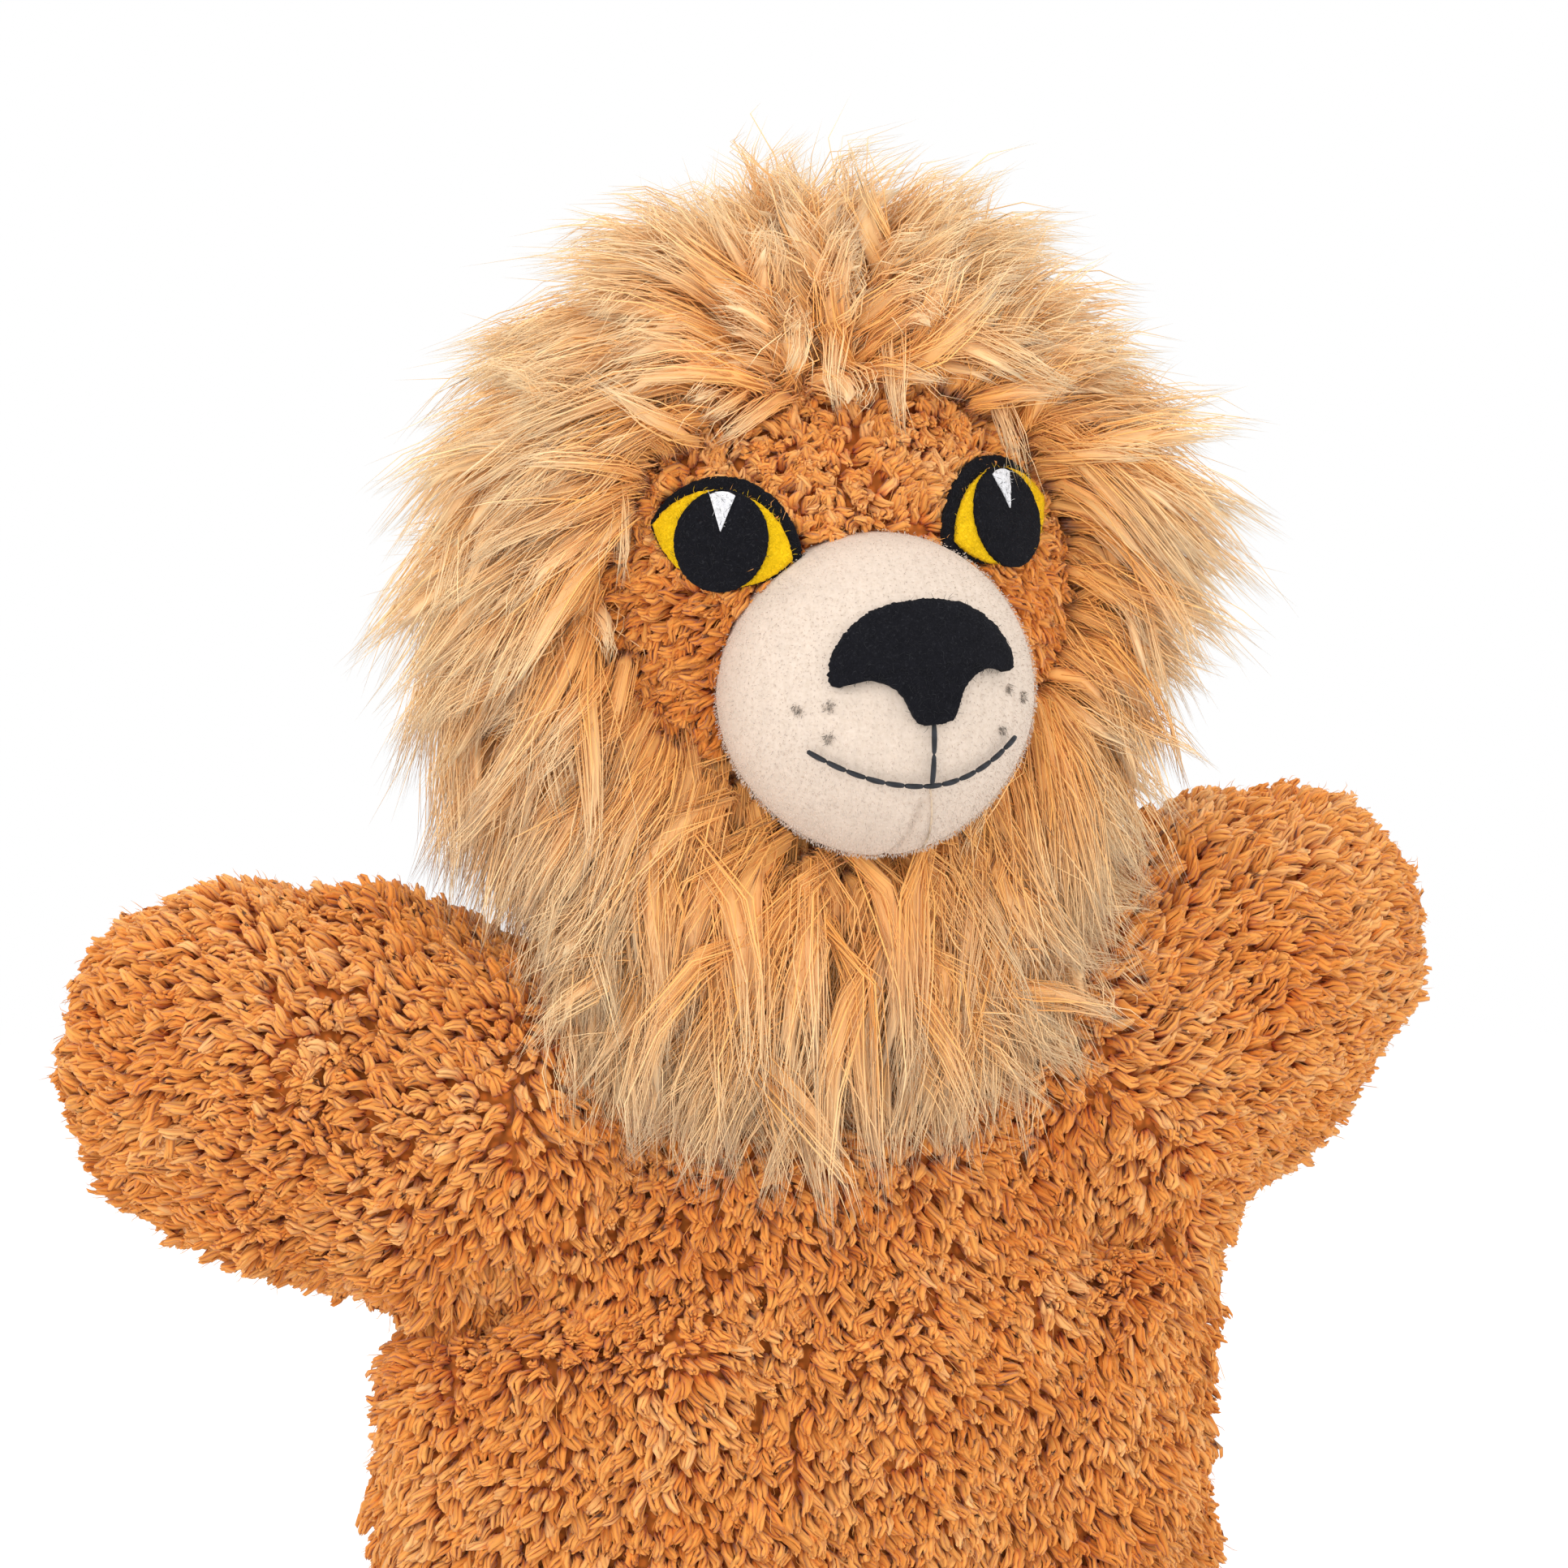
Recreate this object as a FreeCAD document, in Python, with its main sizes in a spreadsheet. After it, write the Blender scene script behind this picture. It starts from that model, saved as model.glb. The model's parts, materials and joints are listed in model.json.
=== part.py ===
import FreeCAD, Part
import os
import re

# A lion glove puppet: a pile-fabric glove body with two arms, a stuffed head with a
# velour muzzle and felt features, a long mane and a finger tube through the neck.
# +Z is up, the face looks along -Y and +X is the puppet's left. The origin is the
# middle of the hand opening, on the plane of the hem.

document = FreeCAD.newDocument("lion_glove_puppet")

# Driving dimensions, in millimetres and degrees.
SIZES = {
    # body tube of the glove, outside of the pile
    "hem_half_width": 83,
    "hem_half_depth": 41,
    "waist_height": 45,
    "waist_half_width": 80,
    "waist_half_depth": 39.5,
    "underarm_height": 78,
    "underarm_half_width": 79,
    "underarm_half_depth": 39,
    "pile_wall": 9,
    "corner_rise": 9,
    # chest above the underarm and the opening for the neck
    "chest_half_width": 60,
    "chest_half_depth": 38.5,
    "chest_rise": 72,
    "neck_height": 150,
    "neck_socket_wall": 5,
    "neck_socket_depth": 30,
    # hem and seams
    "hem_turning": 18,
    "hem_wall": 3,
    "stitch_height": 14,
    "thread_thickness": 0.8,
    "seam_thickness": 2,
    "seam_allowance": 5,
    # neck rings, one inside the other around the neck pivot
    "collar_ball": 18,
    "neck_ring_wall": 3.65,
    "neck_ring_height": 16,
    "joint_gap": 0.35,
    # between one layer of fabric and the next
    "layer_gap": 0.3,
    # shoulders
    "shoulder_spread": 52,
    "shoulder_height": 118,
    "arm_ball": 24,
    "arm_ball_wall": 6,
    "arm_root_cut": 12,
    "armhole_ring_wall": 2.65,
    "armhole_ring_width": 9,
    "armhole_ring_back": 14,
    "finger_passage": 13,
    # arm, along its own axis from the shoulder
    "arm_reach": 40,
    "arm_length": 46,
    "arm_height": 36,
    "arm_thickness": 28,
    "arm_swing_back": 16,
    "right_arm_lift": 19,
    "left_arm_lift": 25,
    # head
    "head_height": 222,
    "head_forward": 5,
    "head_half_width": 49,
    "head_half_depth": 38,
    "head_half_height": 46,
    "head_skin": 5,
    "face_seam": 16,
    "collar_wall": 2,
    "tie_thickness": 2,
    "tie_rise": 18,
    "finger_bore": 10,
    "tube_wall": 2,
    "tube_drop": 14,
    "tube_length": 90,
    # muzzle, nose and mouth
    "muzzle_radius": 29,
    "muzzle_forward": 41,
    "muzzle_height": 205,
    "muzzle_skin": 3,
    "nose_felt": 1.6,
    "nose_half_width": 17,
    "nose_top": 21,
    "nose_shoulder": 4.5,
    "nose_neck_half_width": 5,
    "nose_tip": 2,
    "mouth_arc": 29,
    "mouth_half_width": 20,
    "mouth_drop": 14,
    "line_width": 1,
    # eyes, on the surface of the head
    "eye_spread": 23.2,
    "eye_forward": 26.4,
    "eye_rise": 9.1,
    "eye_turn": 31,
    "eye_tilt": 16.5,
    "eye_slant": 12,
    "eye_felt": 1.3,
    "iris_half_width": 13.4,
    "iris_half_height": 8.9,
    "liner_margin": 2.5,
    "pupil_radius": 8.6,
    "pupil_felt": 1,
    "glint_radius": 3,
    "glint_rise": 5.6,
    # mane
    "mane_half_width": 79,
    "mane_half_depth": 50,
    "mane_half_height": 80,
    "mane_back": 5,
    "mane_face_edge": 24,
    "mane_crown_height": 216,
    "mane_floor": 156,
    "mane_side_floor": 184,
    "mane_neck_radius": 32,
    "mane_back_half_width": 30,
    "bib_half_width": 54,
    "bib_half_depth": 36,
    "bib_half_height": 52,
    "bib_height": 160,
    "bib_top": 182,
    "bib_gap": 0.5,
}

sheet = document.addObject("Spreadsheet::Sheet", "Sizes")
for row, (alias, value) in enumerate(SIZES.items(), start=1):
    sheet.set(f"A{row}", alias)
    sheet.set(f"B{row}", str(value))
    sheet.setAlias(f"B{row}", alias)
document.recompute()

parts = []


def from_sheet(word):
    return f"Sizes.{word[0]}" if word[0] in SIZES else word[0]


def formula(words):
    """An expression in which each size is read from the sheet."""
    return re.sub(r"[a-z]+(_[a-z]+)*", from_sheet, str(words))


def tie(item, links):
    """Bind properties of an object to expressions of the sheet's sizes."""
    for name, words in links.items():
        item.setExpression(name, formula(words))
    return item


def put(item, at=(0, 0, 0), turn=(0, 0, 0)):
    """Place an object at x, y, z, turned by yaw, pitch and roll, all given as expressions."""
    place = "; ".join(formula(v) for v in at)
    angles = "; ".join(formula(v) for v in turn)
    vector = f"create(<<vector>>; {place})"
    rotation = f"create(<<rotation>>; {angles})"
    item.setExpression("Placement", f"create(<<placement>>; {vector}; {rotation})")
    return item


def ellipsoid(name, x, y, z, at=(0, 0, 0), upper_half=False, turn=(0, 0, 0)):
    """An ellipsoid with the given half axes; its poles are on its own Z axis."""
    item = document.addObject("Part::Ellipsoid", name)
    if upper_half:
        item.Angle1 = 0
    tie(item, {"Radius2": x, "Radius3": y, "Radius1": z})
    return put(item, at, turn)


def sphere(name, radius, at=(0, 0, 0)):
    item = document.addObject("Part::Sphere", name)
    tie(item, {"Radius": radius})
    return put(item, at)


def cylinder(name, radius, height, at=(0, 0, 0), turn=(0, 0, 0)):
    item = document.addObject("Part::Cylinder", name)
    tie(item, {"Radius": radius, "Height": height})
    return put(item, at, turn)


def box(name, low, high):
    """A box between two corners, each given as expressions."""
    item = document.addObject("Part::Box", name)
    sides = [f"({b}) - ({a})" for a, b in zip(low, high)]
    tie(item, dict(zip(("Length", "Width", "Height"), sides)))
    return put(item, low)


def cut(name, base, tool):
    item = document.addObject("Part::Cut", name)
    item.Base = base
    item.Tool = tool
    return item


def common(name, *shapes):
    item = document.addObject("Part::MultiCommon", name)
    item.Shapes = list(shapes)
    return item


def fuse(name, *shapes):
    item = document.addObject("Part::MultiFuse", name)
    item.Shapes = list(shapes)
    return item


def node(name, item):
    """Make an object one of the puppet's sub-parts, under the given name."""
    item.Label = name
    parts.append(item)
    return item


# A length that reaches past the whole puppet, for the boxes that split it.
FAR = 400

# ---------------------------------------------------------------- body of the glove


def body_tube(name, inset):
    """The inside of the body tube at a depth below its surface, open at both ends."""
    levels = [("hem", "0"), ("waist", "waist_height"), ("underarm", "underarm_height")]
    rings = []
    for level, height in levels:
        ring = document.addObject("Part::Ellipse", f"{name}_{level}")
        tie(ring, {"MajorRadius": f"{level}_half_width - ({inset})"})
        tie(ring, {"MinorRadius": f"{level}_half_depth - ({inset})"})
        rings.append(put(ring, (0, 0, height)))
    item = document.addObject("Part::Loft", name)
    item.Sections = rings
    item.Solid = True
    return item


PIVOT = (0, 0, "neck_height")
SLEEVE_INNER = "(collar_ball + joint_gap)"
SLEEVE_OUTER = f"({SLEEVE_INNER} + neck_ring_wall)"
SEAM_INNER = f"({SLEEVE_OUTER} + joint_gap)"
SEAM_OUTER = f"({SEAM_INNER} + neck_ring_wall)"
SOCKET = f"({SEAM_OUTER} + joint_gap)"
SIDES = {"right": -1, "left": 1}
ARMHOLE_INNER = "(arm_ball + joint_gap)"
ARMHOLE_OUTER = f"({ARMHOLE_INNER} + armhole_ring_wall)"


def shoulder(side):
    return (f"{SIDES[side]} * shoulder_spread", 0, "shoulder_height")


body_inner = body_tube("body_inner", "pile_wall")
underarm = (0, 0, "underarm_height")
shoulders = ellipsoid(
    "shoulders", "underarm_half_width", "underarm_half_depth", "corner_rise", underarm, True
)
chest = ellipsoid("chest", "chest_half_width", "chest_half_depth", "chest_rise", underarm, True)
socket_low = "neck_height - neck_socket_depth"
socket = cylinder(
    "socket", f"{SOCKET} + neck_socket_wall", "neck_socket_depth", (0, 0, socket_low)
)
body_outer = fuse("body_outer", body_tube("body_tube", "0"), shoulders, chest, socket)

chest_inner = ellipsoid(
    "chest_inner",
    "chest_half_width - pile_wall",
    "chest_half_depth - pile_wall",
    "chest_rise - pile_wall",
    underarm,
)
neck_passage = cylinder("neck_passage", SLEEVE_OUTER, "neck_socket_depth", (0, 0, socket_low))
neck_ball = sphere("neck_ball", SOCKET, PIVOT)
armholes = [
    sphere(f"{side}_armhole", f"{ARMHOLE_OUTER} + joint_gap", shoulder(side)) for side in SIDES
]
body_hollow = fuse("body_hollow", body_inner, chest_inner, neck_passage, neck_ball, *armholes)
body_shell = cut("body_shell", body_outer, body_hollow)

HALF_SEAM = "seam_thickness / 2"
front_half = box("front_half", (-FAR, -FAR, -FAR), (FAR, f"-{HALF_SEAM}", FAR))
back_half = box("back_half", (-FAR, HALF_SEAM, -FAR), (FAR, FAR, FAR))
node("torso_front_panel", common("torso_front", body_shell, front_half))
node("torso_back_panel", common("torso_back", body_shell, back_half))

hem_outer = body_tube("hem_outer", "pile_wall + layer_gap")
hem_inset = "pile_wall + layer_gap + hem_wall"
hem_inner = body_tube("hem_inner", hem_inset)
hem_band = box("hem_band", (-FAR, -FAR, 0), (FAR, FAR, "hem_turning"))
node("hem_turning", cut("hem", common("hem_block", hem_outer, hem_band), hem_inner))

stitch_outer = body_tube("stitch_outer", f"{hem_inset} + layer_gap")
stitch_inner = body_tube("stitch_inner", f"{hem_inset} + layer_gap + thread_thickness")
stitch_band = box(
    "stitch_band",
    (-FAR, -FAR, "stitch_height"),
    (FAR, FAR, "stitch_height + thread_thickness"),
)
stitch_block = common("stitch_block", stitch_outer, stitch_band)
node("hem_stitching", cut("stitching", stitch_block, stitch_inner))

# the seams' turned-in edges stand a little into the hollow, above the hem
allowance_inner = body_tube("allowance_inner", "pile_wall + seam_allowance")
hem_room = common("hem_room", body_inner, hem_band)
seam_hollow = fuse(
    "seam_hollow", allowance_inner, hem_room, chest_inner, neck_passage, neck_ball, *armholes
)
seam_walls = cut("seam_walls", body_outer, seam_hollow)
for side, sign in SIDES.items():
    reach = sorted((0, sign * FAR))
    for label, low, high in (("side", 0, "shoulder_height"), ("shoulder", "shoulder_height", FAR)):
        slab = box(
            f"{side}_{label}_slab", (reach[0], f"-{HALF_SEAM}", low), (reach[1], HALF_SEAM, high)
        )
        node(f"{side}_{label}_seam", common(f"{side}_{label}_strip", seam_walls, slab))

# ---------------------------------------------------------------- neck rings

ring_low = "neck_height - neck_ring_height / 2"
ring_high = "neck_height + neck_ring_height / 2"
ring_slab = box("ring_slab", (-FAR, -FAR, ring_low), (FAR, FAR, ring_high))


def neck_ring(name, inner, outer):
    """A ring of fabric with spherical faces around the neck pivot."""
    shell = cut(f"{name}_shell", sphere(f"{name}_out", outer, PIVOT), sphere(f"{name}_in", inner, PIVOT))
    return node(name, common(f"{name}_ring", shell, ring_slab))


neck_ring("neck_seam", SEAM_INNER, SEAM_OUTER)
neck_ring("neck_sleeve", SLEEVE_INNER, SLEEVE_OUTER)

# ---------------------------------------------------------------- arms


def along_arm(side, item):
    """Carry an object from the arm's own axis, +X, to its place at the shoulder."""
    yaw = "arm_swing_back" if side == "left" else "180 - arm_swing_back"
    return put(item, shoulder(side), (yaw, f"-{side}_arm_lift", 0))


def arm_form(name, inset, ball):
    """The arm along +X: a ball at the shoulder and a long rounded paw, poles front and back."""
    paw = ellipsoid(
        f"{name}_paw",
        f"arm_length - {inset}",
        f"arm_height - {inset}",
        f"arm_thickness - {inset}",
        ("arm_reach", 0, 0),
        turn=(0, 0, 90),
    )
    return sphere(f"{name}_ball", ball), paw


def arm(side):
    """The arm's shell in two pieces with the seam between them, and its armhole ring."""
    outer = fuse(f"{side}_arm_outer", *arm_form(f"{side}_arm_out", 0, "arm_ball"))
    hollow_forms = arm_form(f"{side}_arm_in", "pile_wall", "arm_ball - arm_ball_wall")
    passage = cylinder(
        f"{side}_arm_passage",
        "finger_passage",
        "arm_ball + arm_reach",
        ("-arm_ball", 0, 0),
        (0, 90, 0),
    )
    hollow = fuse(f"{side}_arm_hollow", *hollow_forms, passage)
    past_root = box(f"{side}_past_root", ("-arm_root_cut", -FAR, -FAR), (FAR, FAR, FAR))
    shell = common(f"{side}_arm_shell", cut(f"{side}_arm_walls", outer, hollow), past_root)
    halves = {
        f"{side}_sleeve_low_y": ((-FAR, -FAR, -FAR), (FAR, f"-{HALF_SEAM}", FAR)),
        f"{side}_sleeve_high_y": ((-FAR, HALF_SEAM, -FAR), (FAR, FAR, FAR)),
        f"{side}_sleeve_middle": ((-FAR, f"-{HALF_SEAM}", -FAR), (FAR, HALF_SEAM, FAR)),
    }
    front_first = side == "left"
    names = [
        f"{side}_sleeve_front" if front_first else f"{side}_sleeve_back",
        f"{side}_sleeve_back" if front_first else f"{side}_sleeve_front",
        f"{side}_sleeve_seam",
    ]
    for label, (name, corners) in zip(names, halves.items()):
        piece = common(name, shell, box(f"{name}_box", *corners))
        node(label, along_arm(side, piece))
    ring_outer = sphere(f"{side}_ring_outer", ARMHOLE_OUTER)
    ring_shell = cut(f"{side}_ring_shell", ring_outer, sphere(f"{side}_ring_inner", ARMHOLE_INNER))
    width = box(
        f"{side}_ring_width",
        ("-armhole_ring_back - armhole_ring_width / 2", -FAR, -FAR),
        ("-armhole_ring_back + armhole_ring_width / 2", FAR, FAR),
    )
    ring = common(f"{side}_ring", ring_shell, width)
    node(f"{side}_armhole_seam", along_arm(side, ring))


for side in SIDES:
    arm(side)

# ---------------------------------------------------------------- head

HEAD = (0, "-head_forward", "head_height")


def head_form(name, grow):
    """The head's surface, grown outward by a thickness."""
    return ellipsoid(
        name,
        f"head_half_width + ({grow})",
        f"head_half_depth + ({grow})",
        f"head_half_height + ({grow})",
        HEAD,
    )


head_outer = head_form("head_outer", "0")
head_inner = head_form("head_inner", "-head_skin")
tube_low = "neck_height - tube_drop"
tube_radius = "finger_bore + tube_wall"
tube_block = cylinder("tube_block", tube_radius, "tube_length", (0, 0, tube_low))
tube_bore = cylinder("tube_bore", "finger_bore", "tube_length - tube_wall", (0, 0, tube_low))
bore_to_cap = cylinder("bore_to_cap", tube_radius, "tube_length - tube_wall", (0, 0, tube_low))
node("finger_tube", cut("tube", bore_to_cap, tube_bore))
cap_low = f"{tube_low} + tube_length - tube_wall"
node("finger_tube_cap", cylinder("cap", tube_radius, "tube_wall", (0, 0, cap_low)))

tube_room = cylinder(
    "tube_room", f"{tube_radius} + layer_gap", "tube_length + layer_gap", (0, 0, tube_low)
)
stuffing_form = head_form("stuffing_form", "-head_skin - layer_gap")
node("head_stuffing", cut("stuffing", stuffing_form, tube_room))
head_shell = cut("head_shell", cut("head_skin", head_outer, head_inner), tube_room)
face_side = box("face_side", (-FAR, -FAR, -FAR), (FAR, "-face_seam", FAR))
nape_side = box("nape_side", (-FAR, "-face_seam", -FAR), (FAR, FAR, FAR))
node("face_panel", common("face", head_shell, face_side))
node("head_back_panel", common("head_back", head_shell, nape_side))

collar_radius = f"{tube_radius} + collar_wall"
collar_ball = common("collar_zone", sphere("collar_sphere", "collar_ball", PIVOT), ring_slab)
collar_pipe = cylinder("collar_pipe", collar_radius, "head_height - neck_height", PIVOT)
collar_form = fuse("collar_form", collar_ball, collar_pipe)
head_seat = head_form("head_seat", "layer_gap")
collar_tools = fuse("collar_tools", tube_room, head_seat)
node("neck_collar", cut("collar", collar_form, collar_tools))

tie_ring = document.addObject("Part::Torus", "tie_ring")
tie_radius = f"{collar_radius} + layer_gap + tie_thickness / 2"
tie(tie_ring, {"Radius1": tie_radius, "Radius2": "tie_thickness / 2"})
node("neck_tie", put(tie_ring, (0, 0, "neck_height + tie_rise")))

# ---------------------------------------------------------------- muzzle

MUZZLE = (0, "-muzzle_forward", "muzzle_height")


def muzzle_form(name, grow):
    return sphere(name, f"muzzle_radius + ({grow})", MUZZLE)


muzzle_outer = muzzle_form("muzzle_outer", "0")
muzzle_inner = muzzle_form("muzzle_inner", "-muzzle_skin")
muzzle_fill = muzzle_form("muzzle_fill", "-muzzle_skin - layer_gap")
node("muzzle_stuffing", cut("muzzle_padding", muzzle_fill, head_seat))
muzzle_shell = cut("muzzle_shell", cut("muzzle_walls", muzzle_outer, muzzle_inner), head_seat)
for side, sign in SIDES.items():
    reach = sorted((0, sign * FAR))
    half = box(f"{side}_muzzle_half", (reach[0], -FAR, -FAR), (reach[1], FAR, FAR))
    node(f"muzzle_cover_{side}", common(f"{side}_muzzle_cover", muzzle_shell, half))


def on_muzzle(name, outline, thickness):
    """A layer of felt or thread that lies on the muzzle within an outline seen from the front."""
    top = muzzle_form(f"{name}_outer", f"layer_gap + {thickness}")
    layer = cut(f"{name}_layer", top, muzzle_form(f"{name}_inner", "layer_gap"))
    in_front = box(f"{name}_in_front", (-FAR, -FAR, -FAR), (FAR, "-muzzle_forward", FAR))
    clear = cut(f"{name}_clear", layer, head_form(f"{name}_head", thickness))
    return common(f"{name}_shape", clear, in_front, outline)


def nose_outline():
    """The nose seen from the front: a rounded cap over a narrow stem."""
    cap = document.addObject("Part::Ellipsoid", "nose_cap")
    cap_drop = "nose_top - nose_shoulder"
    tie(cap, {"Radius2": "nose_half_width", "Radius3": "2 * muzzle_radius", "Radius1": cap_drop})
    cap.Angle1 = 0
    put(cap, (0, "-muzzle_forward", "muzzle_height + nose_shoulder"))
    stem_low = "muzzle_height - nose_tip"
    stem = box(
        "nose_stem",
        ("-nose_neck_half_width", "-muzzle_forward - 2 * muzzle_radius", stem_low),
        ("nose_neck_half_width", "-muzzle_forward", "muzzle_height + nose_shoulder"),
    )
    return fuse("nose_outline", cap, stem)


node("nose_felt", on_muzzle("nose", nose_outline(), "nose_felt"))

mouth_low = "muzzle_height - mouth_drop"
philtrum = box(
    "philtrum_strip",
    ("-line_width / 2", "-muzzle_forward - 2 * muzzle_radius", f"{mouth_low} + line_width"),
    ("line_width / 2", "-muzzle_forward", "muzzle_height - nose_tip"),
)
node("philtrum_thread", on_muzzle("philtrum", philtrum, "thread_thickness"))


def mouth_outline():
    """The mouth seen from the front: the lowest stretch of a wide ring."""
    centre = (0, "-muzzle_forward", f"{mouth_low} + mouth_arc")
    deep = "2 * muzzle_radius"
    wide = cylinder("mouth_wide", "mouth_arc", deep, centre, (0, 0, 90))
    narrow = cylinder("mouth_narrow", "mouth_arc - line_width", deep, centre, (0, 0, 90))
    span = box(
        "mouth_span",
        ("-mouth_half_width", -FAR, -FAR),
        ("mouth_half_width", FAR, f"{mouth_low} + mouth_arc / 2"),
    )
    return common("mouth_outline", cut("mouth_ring", wide, narrow), span)


node("mouth_thread", on_muzzle("mouth", mouth_outline(), "thread_thickness"))

# ---------------------------------------------------------------- eyes


def eye_frame(side, item, right=0, up=0):
    """Carry an outline drawn around +Z, its long way along X, to its place on the face."""
    sign = SIDES[side]
    group_at = (
        f"{sign} * eye_spread",
        "-head_forward - eye_forward",
        "head_height + eye_rise",
    )
    place = "; ".join(formula(v) for v in group_at)
    turns = "; ".join(formula(v) for v in (f"{sign} * eye_turn", 0, "90 - eye_tilt"))
    slant = "; ".join(formula(v) for v in (f"{sign} * eye_slant", 0, 0))
    shift = "; ".join(formula(v) for v in (right, up, 0))
    outer = f"create(<<placement>>; create(<<vector>>; {place}); create(<<rotation>>; {turns}))"
    inner = f"create(<<placement>>; create(<<vector>>; 0; 0; 0); create(<<rotation>>; {slant}))"
    moved = f"create(<<placement>>; create(<<vector>>; {shift}); create(<<rotation>>; 0; 0; 0))"
    item.setExpression("Placement", f"{outer} * {inner} * {moved}")
    return item


def almond(side, name, half_width, half_height, up=0):
    """A lens outline between two arcs, as a prism through the face."""
    arc = f"(({half_width}) ^ 2 + ({half_height}) ^ 2) / (2 * ({half_height}))"
    halves = []
    for label, sign in (("lower", 1), ("upper", -1)):
        disc = document.addObject("Part::Cylinder", f"{name}_{label}")
        tie(disc, {"Radius": arc, "Height": "head_half_depth"})
        shift = f"({up}) + {sign} * ({arc} - ({half_height}))"
        halves.append(eye_frame(side, disc, 0, shift))
    return common(f"{name}_lens", *halves)


def on_head(name, outline, low, high):
    """A layer between two heights above the head's surface, within an outline, beside the muzzle."""
    seat = head_form(f"{name}_low", f"{low} + layer_gap")
    layer = cut(f"{name}_layer", head_form(f"{name}_high", high), seat)
    beside = cut(f"{name}_beside", layer, muzzle_form(f"{name}_muzzle", "layer_gap"))
    return common(f"{name}_shape", beside, outline)


def eye(side):
    name = f"{side}_eye"
    liner_width = "iris_half_width + liner_margin"
    liner_height = "iris_half_height + liner_margin"
    liner = almond(side, f"{name}_liner_cut", liner_width, liner_height, "liner_margin / 2")
    node(f"{name}_liner", on_head(f"{name}_liner", liner, "0", "eye_felt"))
    iris = almond(side, f"{name}_iris_cut", "iris_half_width", "iris_half_height")
    node(f"{name}_iris", on_head(f"{name}_iris", iris, "eye_felt", "2 * eye_felt"))
    disc = document.addObject("Part::Cylinder", f"{name}_pupil_disc")
    tie(disc, {"Radius": "pupil_radius", "Height": "head_half_depth"})
    eye_frame(side, disc)
    pupil_top = "2 * eye_felt + pupil_felt"
    node(f"{name}_pupil", on_head(f"{name}_pupil", disc, "2 * eye_felt", pupil_top))
    wedge = document.addObject("Part::Prism", f"{name}_glint_wedge")
    wedge.Polygon = 3
    tie(wedge, {"Circumradius": "glint_radius", "Height": "head_half_depth"})
    eye_frame(side, wedge, 0, "glint_rise")
    glint_top = f"{pupil_top} + thread_thickness"
    node(f"{name}_glint", on_head(f"{name}_glint", wedge, pupil_top, glint_top))


for side in SIDES:
    eye(side)

# ---------------------------------------------------------------- mane

mane_ball = ellipsoid(
    "mane_ball",
    "mane_half_width",
    "mane_half_depth",
    "mane_half_height",
    (0, "mane_back", "head_height"),
)
mane_behind_face = box("mane_behind_face", (-FAR, "-mane_face_edge", "mane_floor"), (FAR, FAR, FAR))
neck_space = cylinder("neck_space", "mane_neck_radius", "head_height", (0, 0, 0))
mane_hollow = fuse("mane_hollow", head_seat, neck_space)
mane_form = cut("mane_form", common("mane_block", mane_ball, mane_behind_face), mane_hollow)

mane_pieces = {
    "mane_crown": ((-FAR, -FAR, "mane_crown_height"), (FAR, FAR, FAR)),
    "mane_right": (
        (-FAR, -FAR, "mane_side_floor"),
        ("-mane_back_half_width", FAR, "mane_crown_height"),
    ),
    "mane_left": (
        ("mane_back_half_width", -FAR, "mane_side_floor"),
        (FAR, FAR, "mane_crown_height"),
    ),
    "mane_back": (
        ("-mane_back_half_width", 0, 0),
        ("mane_back_half_width", FAR, "mane_crown_height"),
    ),
}
for label, corners in mane_pieces.items():
    node(label, common(f"{label}_piece", mane_form, box(f"{label}_box", *corners)))

bib_ball = ellipsoid(
    "bib_ball",
    "bib_half_width",
    "bib_half_depth",
    "bib_half_height",
    (0, "-mane_face_edge", "bib_height"),
)
bib_front = box("bib_front", (-FAR, -FAR, -FAR), (FAR, "-mane_face_edge", "bib_top"))
chest_space = box(
    "chest_space", (-FAR, "-hem_half_depth - bib_gap", -FAR), (FAR, FAR, "mane_floor")
)
muzzle_seat = muzzle_form("muzzle_seat", "layer_gap")
bib_hollow = fuse("bib_hollow", mane_hollow, muzzle_seat, chest_space)
node("mane_bib", cut("bib", common("bib_block", bib_ball, bib_front), bib_hollow))

# ---------------------------------------------------------------- checks and export

document.recompute()
for item in document.Objects:
    if "Invalid" in item.State or "Error" in item.State:
        raise RuntimeError(f"{item.Name} failed: {item.State}")
os.makedirs("parts", exist_ok=True)
for item in parts:
    shape = item.Shape
    if shape.isNull() or not shape.isValid() or not shape.Solids:
        raise RuntimeError(f"{item.Label} has no valid solid")
    shape.exportStep(f"parts/{item.Label}.step")
    print(f"{item.Label}: {len(shape.Solids)} solid, {shape.Volume / 1000:.2f} cm3")
print(f"{len(parts)} sub-parts written")
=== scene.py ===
import json
import math

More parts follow.
